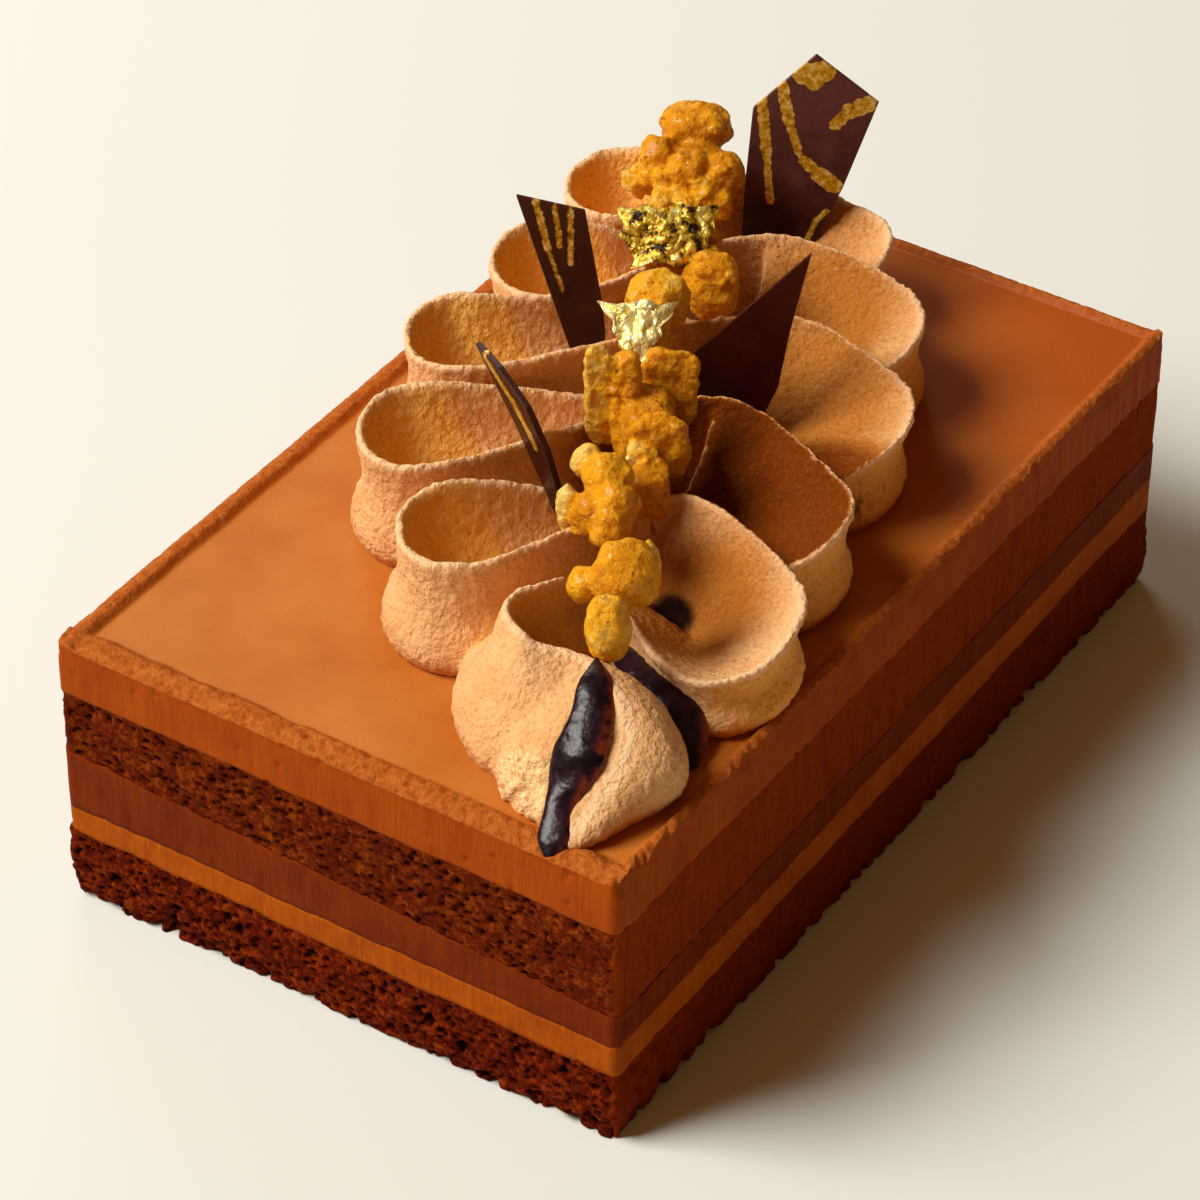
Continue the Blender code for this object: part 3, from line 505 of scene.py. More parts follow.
# ---- piped cream ruffle ----
# Whipped chocolate cream piped through a flat nozzle in one go, from the solid nose at the
# front, in turns from side to side towards the back. Each turn stands on a thick foot and
# thins to a lip at the top; the cream is matt, with fine air bubbles and upright drag marks.
FOOT = FIELD_HEIGHT - 0.15
LIP = 0.50                       # half its thickness
LEFT_FOOT, RIGHT_FOOT = 4.0, 3.7
SPAN_STATIONS = 12               # places between two rows of the tables
LEAN_POWER = 1.3                 # a wall leans more towards its lip
SQUEEZE = 0.6                    # most half-width inside a bend, as a share of its radius
# the nose: x, y, lean, height, foot on the left, foot on the right, fullness
NOSE = (
    (30.0, -63.2, 0.4, 1.0, 1.4, 1.2, 1.0),
    (30.0, -60.0, 2.6, 3.8, 4.6, 4.0, 1.0),
    (29.0, -56.5, 4.6, 7.2, 7.6, 7.0, 1.0),
    (27.6, -52.5, 5.0, 10.4, 8.8, 10.6, 1.0),
    (25.8, -48.8, 2.2, 13.2, 7.4, 10.4, 0.85),
)
# the first turn's first rows grow out of the nose: what that adds to the left foot, and fullness
NOSE_FADE = ((4.0, 0.8), (2.0, 0.5))
NOSE_FLANK = (25.0, -54.5, 0)    # the middle of its broad flank, in plan
TORN_SPOT = (22.9, -58.2, FOOT + 3.0)
# each turn: side, apex x, apex y, heading, half-width before and behind the apex, lean, height,
# and how much lower the lip is where the turn opens towards the front; for the long right turns
# also depth and half-spacing of the front and the back leg, and the pressed front leg's drop
TURNS = (
    ("left", 10.6, -48.2, 226, 8.2, 6.8, -3.0, 16.0, 3.0),
    ("right", 35.2, -30.6, -17, 4.8, 8.6, 4.0, 13.0, 3.5, 20.0, 5.8, 23.5, 10.6, 0.5),
    ("left", -4.6, -39.8, 230, 5.7, 7.6, 1.9, 16.0, 0),
    ("right", 30.6, -11.3, -16, 4.8, 8.3, 3.6, 13.0, 0, 20.0, 4.0, 25.5, 10.2, 6.5),
    ("left", -19.6, -25.1, 221, 4.9, 7.2, 3.2, 16.0, 0),
    ("right", 25.8, 9.8, -14, 4.6, 8.2, 4.8, 13.0, 0, 18.6, 4.0, 22.5, 10.0, 6.5),
    ("left", -26.9, -4.8, 212, 4.9, 6.1, 3.2, 16.0, 0),
    ("right", 18.4, 27.6, -11, 5.0, 8.4, 3.6, 13.0, 0, 20.0, 3.4, 25.0, 7.2, 6.5),
    ("left", -28.8, 17.7, 193, 6.2, 6.9, 3.2, 15.0, 0),
    ("right", 6.0, 43.8, -1, 5.0, 5.4, 3.2, 13.0, 0, 18.0, 3.8, 19.0, 6.2, 7.5),
    ("left", -31.4, 38.7, 188, 5.8, 6.0, 3.0, 14.0, 0),
)
# along a turn, as shares: the inner foot's reach, lean, lift, drop and opening
RIGHT_INNER_REACH = (1.0, 1.1, 1.2, 1.7, 2.0, 2.0, 1.2)
RIGHT_LEAN = (0.1, 0.8, 1.0, 1.0, 1.0, 0.8, 0.1)
PRESSED_LEAN = (0.1, 0.1, 0.7, 1.0, 1.0, 0.8, 0.1)
LEFT_LEAN = (0.8, 1.0, 1.0, 1.0, 0.8)
RIGHT_LIFT = (0.0, 0.0, 0.0, 0.0, 0.3, 0.6, 0.8)
FRONT_DROP = (1.0, 0.95, 0.5, 0.1, 0.0, 0.0, 0.0)
RIGHT_OPENING = (0.5, 1.0, 1.0, 0.7, 0.2, 0.0, 0.0)
LEFT_OPENING = (0.8, 0.3, 0.0, 0.0, 0.0)
# the hollow inside each right turn: how far behind the apex and towards the back it is, how
# dark the painted shade in it is, how far out that begins and is full, and its funnel's height
# and how its slope runs
FUNNELS = (
    (13.0, 3.0, 0.58, 14.0, 5.0, 2.6, 0.8),
    (13.5, 2.0, 1.0, 23.0, 16.0, 4.4, 1.0),
    (13.5, 2.0, 0.50, 19.5, 9.0, 4.4, 1.0),
    (13.5, 2.0, 0.52, 17.0, 7.0, 4.4, 1.0),
    (10.5, 1.0, 0.35, 14.0, 7.0, 4.4, 1.0),
)
LEFT_HOLLOW = (6.0, 0.0, 1.0, 10.5, 8.0)    # the same for the painted light inside each left turn
HOLLOW_TOP = 13.0                # a wall of a hollow is one that faces its middle at this height
WELL_SPOT = (20.6, -23.0, FOOT + 3.6)    # painted deep shade in the hole at the bottom of the first right turn
FUNNEL_LEVEL = 0.95              # it starts just below the lip
FUNNEL_MOUTH = 1.0               # above its deepest point, where the turn is open
FUNNEL_STEPS = 16
# the tail, in the same columns as the nose
TAIL = (
    (-19.5, 46.0, 0.0, 12.0, 3.4, 3.4, 0.2),
    (-15.5, 47.4, 0.0, 6.0, 2.6, 2.6, 0.8),
)
# cream that fills the fold beside the nose
FOLD_CENTRE, FOLD_HALF_SIZES = (23.8, -53.0), (7.6, 7.2, 12.2)
FOLD_TURN, FOLD_LEAN = -25, (1.8, 3.8)
LEVELS = np.array((0.0, 0.05, 0.11, 0.18, 0.25, 0.32, 0.39, 0.46, 0.53, 0.61, 0.69, 0.77, 0.85,
                   0.92, 0.97, 1.0))


def at_levels(*rows):
    """Values at the ribbon's levels, between rows of a level and its value."""
    return np.interp(LEVELS, *zip(*rows))


# how wide the ribbon is up its height, as shares of the foot's half-width
RIBBON = at_levels((0.0, 0.78), (0.06, 0.93), (0.12, 1.0), (0.20, 0.98), (0.28, 0.88), (0.36, 0.66),
                   (0.44, 0.44), (0.52, 0.28), (0.62, 0.16), (0.74, 0.08), (0.86, 0.03), (1.0, 0.0))
CUP = at_levels((0.0, 1.0), (0.07, 1.0), (0.16, 0.88), (0.28, 0.72), (0.42, 0.53), (0.58, 0.35),
                (0.72, 0.19), (0.86, 0.07), (1.0, 0.0))
DOME = at_levels((0.0, 0.9), (0.12, 1.0), (0.34, 0.95), (0.60, 0.78), (0.78, 0.56), (0.90, 0.34),
                 (1.0, 0.0))
LIP_SHARE = at_levels((0.0, 0.0), (0.3, 0.3), (0.55, 0.8), (0.93, 1.0), (0.975, 0.8), (1.0, 0.0))
HALVES_OVERLAP = 3               # stations
RUFFLE_VOXEL = 0.42
RUFFLE_TRIANGLES = 190000


def compass(angle):
    return math.cos(math.radians(angle)), math.sin(math.radians(angle))


def turn_rows(turn):
    """Control rows of one turn: x, y, lean to the right, height, left and right foot, fullness."""
    side, apex_x, apex_y, heading, front, behind, lean, height, opening, *legs = turn
    along = Vector(compass(heading))
    across = Vector((-along.y, along.x))
    steps = [(front, front), (0.3 * front, 0.74 * front), (0, 0),
             (0.3 * behind, -0.74 * behind), (behind, -behind)]
    if side == "right":
        front_depth, front_leg, back_depth, back_leg, drop = legs
        steps = [(front_depth, front_leg)] + steps + [(back_depth, -back_leg)]
        hand, foot, reaches = 1, RIGHT_FOOT, RIGHT_INNER_REACH
        shares = PRESSED_LEAN if drop > 1 else RIGHT_LEAN
        lifts = [lift - drop * low - opening * share for lift, low, share
                 in zip(RIGHT_LIFT, FRONT_DROP, RIGHT_OPENING)]
    else:
        hand, foot, reaches, shares = -1, LEFT_FOOT, (1.0,) * len(steps), LEFT_LEAN
        lifts = [-opening * share for share in LEFT_OPENING]
    rows = []
    for (back, sideways), reach, share, lift in zip(steps, reaches, shares, lifts):
        spot = Vector((apex_x, apex_y)) - along * back - across * sideways * hand
        rows.append((spot.x, spot.y, hand * lean * share, height + lift, foot * reach, foot, 0.0))
    return rows


def smooth_path(rows):
    """Even curve through the rows of the piping."""
    first = [2 * a - b for a, b in zip(rows[0], rows[1])]
    last = [2 * a - b for a, b in zip(rows[-1], rows[-2])]
    points = [Vector(row) for row in (first, *rows, last)]
    path = []
    for p0, p1, p2, p3 in zip(points, points[1:], points[2:], points[3:]):
        t1 = math.sqrt((p1 - p0).xy.length)
        t2 = t1 + math.sqrt((p2 - p1).xy.length)
        t3 = t2 + math.sqrt((p3 - p2).xy.length)
        for step in range(SPAN_STATIONS):
            t = t1 + (t2 - t1) * step / SPAN_STATIONS
            a1 = p0.lerp(p1, t / t1)
            a2 = p1.lerp(p2, (t - t1) / (t2 - t1))
            a3 = p2.lerp(p3, (t - t2) / (t3 - t2))
            b1 = a1.lerp(a2, t / t2)
            b2 = a2.lerp(a3, (t - t1) / (t3 - t1))
            path.append(b1.lerp(b2, (t - t1) / (t2 - t1)))
    path.append(points[-2])
    return np.array(path)


groups = [list(NOSE)] + [turn_rows(turn) for turn in TURNS] + [list(TAIL)]
for step, (wider, fuller) in enumerate(NOSE_FADE):
    x, y, lean, height, left_foot, right_foot, fullness = groups[1][step]
    groups[1][step] = (x, y, lean, height, left_foot + wider, right_foot, fuller)
path = smooth_path([row for group in groups for row in group])
ahead = np.gradient(path[:, :2], axis=0)
pace = np.linalg.norm(ahead, axis=1)
ahead = ahead / pace[:, None]
bend = -np.gradient(np.unwrap(np.arctan2(ahead[:, 1], ahead[:, 0]))) / pace
for _ in range(2):
    bend = np.convolve(bend, np.ones(5) / 5, "same")
along = np.column_stack([np.cumsum(pace), np.zeros((len(path), 2))])
lip_tear = grains(along, (0.20, 1.7, 41), (0.16, 4.5, 42))
lip_tear = lip_tear - 0.5 * rise(0.62, 0.95, grain(along, 3.1, 43))
lip_wander = 0.22 * grain(along, 3.4, 44)
thickness = 1.0 + 0.22 * grain(along, 5.0, 45)


def ribbon_ring(i):
    """The ribbon's closed outline at one station, from the left foot over the lip."""
    x, y, lean, height, left_foot, right_foot, fullness = path[i]
    free = 1 - fullness
    openness = min(max(left_foot / RIGHT_FOOT - 1, 0), 1)
    left_share = (RIBBON + (CUP - RIBBON) * openness) * free + DOME * fullness
    right_share = RIBBON * free + DOME * fullness
    lip = LIP * thickness[i] * LIP_SHARE
    wide = np.concatenate([-left_foot * left_share - lip, (right_foot * right_share + lip)[::-1]])
    level = np.concatenate([LEVELS, LEVELS[::-1]])
    if abs(bend[i]) > 1e-6:
        limit = SQUEEZE / abs(bend[i])
        wide = np.where(wide * bend[i] > 0, np.clip(wide, -limit, limit), wide)
    reach = wide + lean * level ** LEAN_POWER + lip_wander[i] * level ** 3 * free
    stand = level * (height + lip_tear[i] * free)
    return np.column_stack([x + ahead[i, 1] * reach, y - ahead[i, 0] * reach, FOOT + stand])


def closed_tube(rings):
    """Points and faces of a solid through rings of the same number of points."""
    count = len(rings[0])
    ends = [list(range(count))[::-1], [(len(rings) - 1) * count + k for k in range(count)]]
    return np.concatenate(rings), ring_faces(count, len(rings)) + ends


def inside_turn(turn, behind, sideways):
    """Where a turn's hollow is: so far behind its apex, and so far towards the back."""
    apex_x, apex_y, heading = turn[1:4]
    cosine, sine = compass(heading)
    return np.array([apex_x - cosine * behind - sine * sideways,
                     apex_y - sine * behind + cosine * sideways])


def cup_funnel(turn, funnel, first, last):
    """The cream inside a right turn, sloping from the lip to the deepest point."""
    behind, sideways, *_, low, slope = funnel
    deepest = inside_turn(turn, behind, sideways)
    x, y, lean, height = path[first:last + 1, :4].T
    reach = lean * FUNNEL_LEVEL ** LEAN_POWER
    lip_x = x + ahead[first:last + 1, 1] * reach
    lip_y = y - ahead[first:last + 1, 0] * reach
    mouth_x, mouth_y = (x[0] + x[-1]) / 2, (y[0] + y[-1]) / 2
    floor = np.column_stack([np.append(x, mouth_x), np.append(y, mouth_y), np.zeros(len(x) + 1)])
    lip = np.column_stack([np.append(lip_x, mouth_x), np.append(lip_y, mouth_y),
                           np.append(height * FUNNEL_LEVEL, low + FUNNEL_MOUTH)])
    rings = [floor]
    for share in np.linspace(0.0, 0.97, FUNNEL_STEPS):
        plan = lip[:, :2] + (deepest - lip[:, :2]) * share
        rings.append(np.column_stack([plan, low + (lip[:, 2] - low) * (1 - share) ** slope]))
    return closed_tube([ring + (0, 0, FOOT) for ring in rings])


def ball(subdivisions, place=Matrix()):
    """Points and faces of a ball of radius 1, put where place says."""
    shape = bmesh.new()
    bmesh.ops.create_icosphere(shape, subdivisions=subdivisions, radius=1.0, matrix=place)
    points = np.array([vert.co for vert in shape.verts])
    faces = [[vert.index for vert in face.verts] for face in shape.faces]
    shape.free()
    return points, faces


def fold_fill():
    """A leaning half ball of cream."""
    unit, faces = ball(4)
    level = np.maximum(unit[:, 2], 0.0)
    wide, deep, high = FOLD_HALF_SIZES
    cosine, sine = compass(FOLD_TURN)
    across, along = unit[:, 0] * wide, unit[:, 1] * deep
    x = FOLD_CENTRE[0] + cosine * across - sine * along + FOLD_LEAN[0] * level
    y = FOLD_CENTRE[1] + sine * across + cosine * along + FOLD_LEAN[1] * level
    return np.column_stack([x, y, FOOT + high * level]), faces


def shaped(item, kind, **settings):
    """Work on a piece with one of Blender's modifiers, for good."""
    step = item.modifiers.new(kind.lower(), kind)
    for name, value in settings.items():
        setattr(step, name, value)
    graph = bpy.context.evaluated_depsgraph_get()
    mesh = bpy.data.meshes.new_from_object(item.evaluated_get(graph))
    item.modifiers.clear()
    item.data = mesh


def merged(name, solids, voxel, softenings):
    """Several overlapping solids as one skin, slightly softened."""
    points, faces, start = [], [], 0
    for solid_points, solid_faces in solids:
        points.append(solid_points)
        faces += [[start + k for k in face] for face in solid_faces]
        start += len(solid_points)
    item = solid_piece(name, np.concatenate(points), faces)
    shape = bmesh.new()
    shape.from_mesh(item.data)
    bmesh.ops.recalc_face_normals(shape, faces=shape.faces)
    shape.to_mesh(item.data)
    shape.free()
    shaped(item, "REMESH", mode="VOXEL", voxel_size=voxel * MM)
    shaped(item, "SMOOTH", factor=0.5, iterations=softenings)
    return item


def read_vectors(item, kind):
    values = np.zeros(len(item.data.vertices) * 3)
    item.data.vertices.foreach_get(kind, values)
    return values.reshape(-1, 3)


def points_of(item):
    return read_vectors(item, "co") / MM


def swell(item, amount):
    """Move each point along its normal; amount(points, normals) says how far, in mm."""
    points, normals = points_of(item), read_vectors(item, "normal")
    points = points + normals * amount(points, normals)[:, None]
    item.data.vertices.foreach_set("co", (points * MM).ravel())
    item.data.update()


# each turn is two solids, because one that crossed itself wouldn't merge well
halves = [half for group in groups[1:-1] for half in (len(group) // 2, (len(group) + 1) // 2)]
cuts = [0, *(np.cumsum([len(NOSE), *halves]) * SPAN_STATIONS), len(path) - 1]
solids = [closed_tube([ribbon_ring(i) for i in range(max(first - HALVES_OVERLAP, 0), last + 1)])
          for first, last in zip(cuts, cuts[1:])]
first, funnels = len(NOSE) * SPAN_STATIONS, iter(FUNNELS)
for turn, group in zip(TURNS, groups[1:]):
    if turn[0] == "right":
        last = first + (len(group) - 1) * SPAN_STATIONS
        solids.append(cup_funnel(turn, next(funnels), first, last))
    first += len(group) * SPAN_STATIONS
solids.append(fold_fill())
ruffle = merged("piped_ruffle", solids, RUFFLE_VOXEL, 2)


def near_spot(points, spot, outer, inner, stretch):
    """1 within inner mm of a spot and 0 beyond outer, stretched a little along x."""
    return rise(outer, inner, np.linalg.norm((points - spot) / (stretch, 1, 1), axis=1))


# the nose is drawn into one broad, soft flank; below it the cream is torn
points = points_of(ruffle)
nose_share = near_spot(points * (1, 1, 0), NOSE_FLANK, 9.5, 5.5, 1.1)
nose_share = nose_share * rise(FOOT + 12.5, FOOT + 9.5, points[:, 2])
soft_group = ruffle.vertex_groups.new(name="soft_nose")
for index in np.nonzero(nose_share > 0.02)[0]:
    soft_group.add([int(index)], float(nose_share[index]), "REPLACE")
shaped(ruffle, "SMOOTH", vertex_group="soft_nose", factor=0.9, iterations=60)


def cream_skin(points, normals):
    """Pebbles, drag marks on the upright walls, a few air bubbles, and the torn patch."""
    pebbles = grains(points, (0.15, 1.0, 52), (0.07, 2.3, 53))
    drag_marks = 0.15 * (1 - np.abs(normals[:, 2])) * grain(points, (0.9, 0.9, 2.6), 51)
    bubbles = 0.45 * pores(points, 7.0, 54, 0.075, 0.03)
    tear = 0.2 + 0.5 * grain(points, 1.7, 55) + 0.6 * np.abs(grain(points, 1.1, 56))
    return pebbles + drag_marks - bubbles + tear * near_spot(points, TORN_SPOT, 5.6, 3.6, 1.1)


swell(ruffle, cream_skin)
ruffle.data.calc_loop_triangles()
shaped(ruffle, "DECIMATE", ratio=RUFFLE_TRIANGLES / len(ruffle.data.loop_triangles))
ruffle.data.shade_smooth()

# how near each point is to the lip's top edge, where a highlight is painted
points, normals = points_of(ruffle), read_vectors(ruffle, "normal")
lips = KDTree(len(path))
for i, (x, y, lean, height) in enumerate(path[:, :4]):
    lips.insert((x + ahead[i, 1] * lean, y - ahead[i, 0] * lean, FOOT + height + lip_tear[i]), i)
lips.balance()
near_lip = np.array([lips.find(point)[2] for point in points.tolist()])

# painted shade darkens the cream inside the right turns, in the shadow of the nuts and the left
# turns; painted light makes it paler and golden inside the left ones
hollows = {"left": np.zeros(len(points)), "right": np.zeros(len(points))}
funnels = iter(FUNNELS)
for turn in TURNS:
    hollow = next(funnels) if turn[0] == "right" else LEFT_HOLLOW
    behind, sideways, most, outer, inner = hollow[:5]
    middle = inside_turn(turn, behind, sideways)
    inward = np.column_stack([middle - points[:, :2], FOOT + HOLLOW_TOP - points[:, 2]])
    inward = inward / np.linalg.norm(inward, axis=1)[:, None]
    facing = rise(-0.1, 0.4, np.einsum("ij,ij->i", normals, inward))
    near = rise(outer, inner, np.linalg.norm(points[:, :2] - middle, axis=1))
    hollows[turn[0]] = np.maximum(hollows[turn[0]], most * facing * near)
# painted shade: the outer walls of the right turns, which face away from the light, are
# painted a warmer, deeper orange
warm = rise(0.3, 0.8, normals @ (0.95, -0.12, -0.25))
warm = warm * rise(14.0, 22.0, points[:, 0]) * rise(-48.0, -42.0, points[:, 1])
# lip: a painted highlight along the lip's top edge
cream_marks = {"lip": rise(1.5, 0.5, near_lip),
               "torn": near_spot(points, TORN_SPOT, 5.4, 3.4, 1.1),
               "moist": hollows["right"],
               "dry": hollows["left"] * (1 - hollows["right"]),
               "well": near_spot(points, WELL_SPOT, 3.3, 1.9, 1.2),
               "warm": warm}
for name, value in cream_marks.items():
    mark(ruffle, name, value)

cream_finish, place, shader = finish("whipped_chocolate_cream")
lip, torn, moist, dry, well, warm = (marked(place, name) for name in cream_marks)
fine = cloud(place, 0.5, 4.0, 0.6)
moist = moist + (0.5 - fine) * 0.5 * between(moist, 0.0, 0.3)
colour = mixed(between(cloud(place, 5.0), 0.3, 0.7), (0.74, 0.355, 0.122), (0.86, 0.48, 0.205))
colour = tinted(
    colour,
    # painted shade: warmer, deeper orange on the right turns' outer walls
    (warm * 0.95, (0.90, 0.32, 0.02)),
    # painted light inside the left turns
    (dry * 0.85, (1.0, 0.52, 0.07)),
    (between(fine, 0.35, 0.72) * 0.35, (0.92, 0.58, 0.30)),
    (between(fine, 0.44, 0.28) * 0.55, (0.38, 0.120, 0.022)),
    # painted shade along the foot, where the cream meets the mousse
    (between(axis(place, "Z"), FOOT + 2.5, FOOT) * 0.35, (0.46, 0.13, 0.02)),
    # painted highlight along the lips
    (lip * 0.55, (1.0, 0.68, 0.40)),
    # painted shade inside the right turns
    (between(moist, 0.0, 0.5), (0.47, 0.165, 0.024)),
    (between(moist, 0.5, 1.0), (0.18, 0.034, 0.0004)),
    # painted deep shade in the well of the first right turn
    (well, (0.015, 0.003, 0.001)),
    (torn * between(fine, 0.4, 0.6), (1.0, 0.68, 0.33)))
pebble = cloud(place, 0.8, 2.0, 0.5, (1, 1, 0.75))
connect(shader, Base_Color=colour, Normal=bumped(pebble + 0.5 * fine, 0.52), Roughness=0.75,
        Specular_IOR_Level=0.06, Subsurface_Weight=0.15, Subsurface_Radius=(1.0, 0.45, 0.2),
        Subsurface_Scale=0.8 * MM)
dress(ruffle, cream_finish, "cream_ruffle")

# ---- dark berry sauce ----
# Two thick runs of glossy, purple-black sauce: one drizzled down the nose, one lying in the
# groove between the nose and the first turn. Where a run thins at its side, red shines through.
# each run is x, y, height above the field where it bridges a hollow, and half-width
SAUCES = (
    ("sauce_on_nose", ((24.6, -45.6, None, 0.5), (26.0, -47.8, None, 1.9), (27.0, -49.8, None, 2.4),
                       (27.9, -51.8, None, 2.6), (28.4, -53.7, None, 3.0), (28.5, -55.3, None, 3.4),
                       (28.6, -57.1, None, 2.8), (28.8, -59.1, None, 2.1), (29.6, -61.2, None, 2.1),
                       (30.2, -62.9, None, 2.0), (30.5, -64.0, None, 1.0))),
    ("sauce_in_groove", ((19.6, -33.0, 4.6, 1.8), (21.5, -33.7, 4.8, 2.4), (23.9, -34.9, 4.9, 2.9),
                         (26.4, -35.9, 5.0, 3.1), (28.8, -36.9, 5.0, 3.2), (30.8, -37.8, 4.4, 3.1),
                         (32.3, -38.6, 3.1, 2.8), (33.8, -40.1, 1.7, 2.3), (35.2, -42.4, 0.8, 1.4))),
)
SAUCE_DEPTH = 0.42               # of its half-width
SAUCE_BEAD = 0.9                 # half the length of each blob along a run
SAUCE_CLEARANCE = 0.4            # its middle stays so far above the field
SAUCE_VOXEL = 0.22
RUN_STEPS = 6

cream_tree = BVHTree.FromObject(ruffle, bpy.context.evaluated_depsgraph_get())


def cream_height(x, y):
    hit = cream_tree.ray_cast(Vector((x, y, 100)) * MM, Vector((0, 0, -1)))[0]
    return max(hit.z / MM if hit else 0.0, FIELD_HEIGHT + SAUCE_CLEARANCE)


def sauce_run(name, run):
    """Blobs in a row along a smooth curve, melted together."""
    rows = []
    for x, y, height, width in run:
        level = cream_height(x, y) if height is None else FIELD_HEIGHT + height
        rows.append(Vector((x, y, level, width)))
    beads = []
    for a, b, c, d in zip([rows[0]] + rows, rows, rows[1:], rows[2:] + [rows[-1]]):
        for step in range(RUN_STEPS):
            t = step / RUN_STEPS
            beads.append(0.5 * ((2 * b) + (c - a) * t + (2 * a - 5 * b + 4 * c - d) * t ** 2
                                + (3 * b - a - 3 * c + d) * t ** 3))
    beads.append(rows[-1])
    solids, sides = [], []
    for back, bead, front in zip([beads[0]] + beads, beads, beads[1:] + [beads[-1]]):
        forward = (front.xyz - back.xyz).normalized()
        sideways = forward.cross(Vector((0, 0, 1))).normalized()
        turn = Matrix((sideways, forward, sideways.cross(forward))).transposed().to_4x4()
        size = Matrix.Diagonal((bead.w, SAUCE_BEAD, SAUCE_DEPTH * bead.w, 1.0))
        solids.append(ball(3, Matrix.Translation(bead.xyz) @ turn @ size))
        sides.append(sideways)
    item = merged(name, solids, SAUCE_VOXEL, 4)
    swell(item, lambda points, normals: grains(points, (0.16, 3.0, 61), (0.03, 1.3, 62)))
    item.data.shade_smooth()

    # how near the right-hand side of the run each point is
    points = points_of(item)
    centres = np.array([bead.xyz for bead in beads])
    nearest = np.argmin(np.linalg.norm(points[:, None] - centres[None], axis=2), axis=1)
    across = np.einsum("ij,ij->i", points - centres[nearest], np.array(sides)[nearest])
    share = across / np.array([bead.w for bead in beads])[nearest]
    mark(item, "thin_side", rise(0.45, 0.95, -share))
    return item


sauce_finish, place, shader = finish("purple_black_sauce")
thick = cloud(place, 2.2, 2.0)
colour = mixed(between(thick, 0.40, 0.75), (0.006, 0.001, 0.003), (0.034, 0.007, 0.016))
thin_side = marked(place, "thin_side") * between(thick, 0.40, 0.56)
colour = mixed(thin_side, colour, (0.22, 0.028, 0.008))
connect(shader, Base_Color=colour, Normal=bumped(cloud(place, 1.8, 2.0), 0.22), Roughness=0.30,
        Coat_Weight=0.06, Coat_Roughness=0.12, Specular_IOR_Level=0.26)
for name, run in SAUCES:
    dress(sauce_run(name, run), sauce_finish, "cream_ruffle")

# ---- candied nut pieces ----
# Broken nuts cooked in sugar until they turned yellow to amber, set in a row along the
# middle of the ruffle. Each is a few rounded lumps and brittle flakes of caramel in one piece.
NUT_TURN = 33                    # all lie along the row's own direction
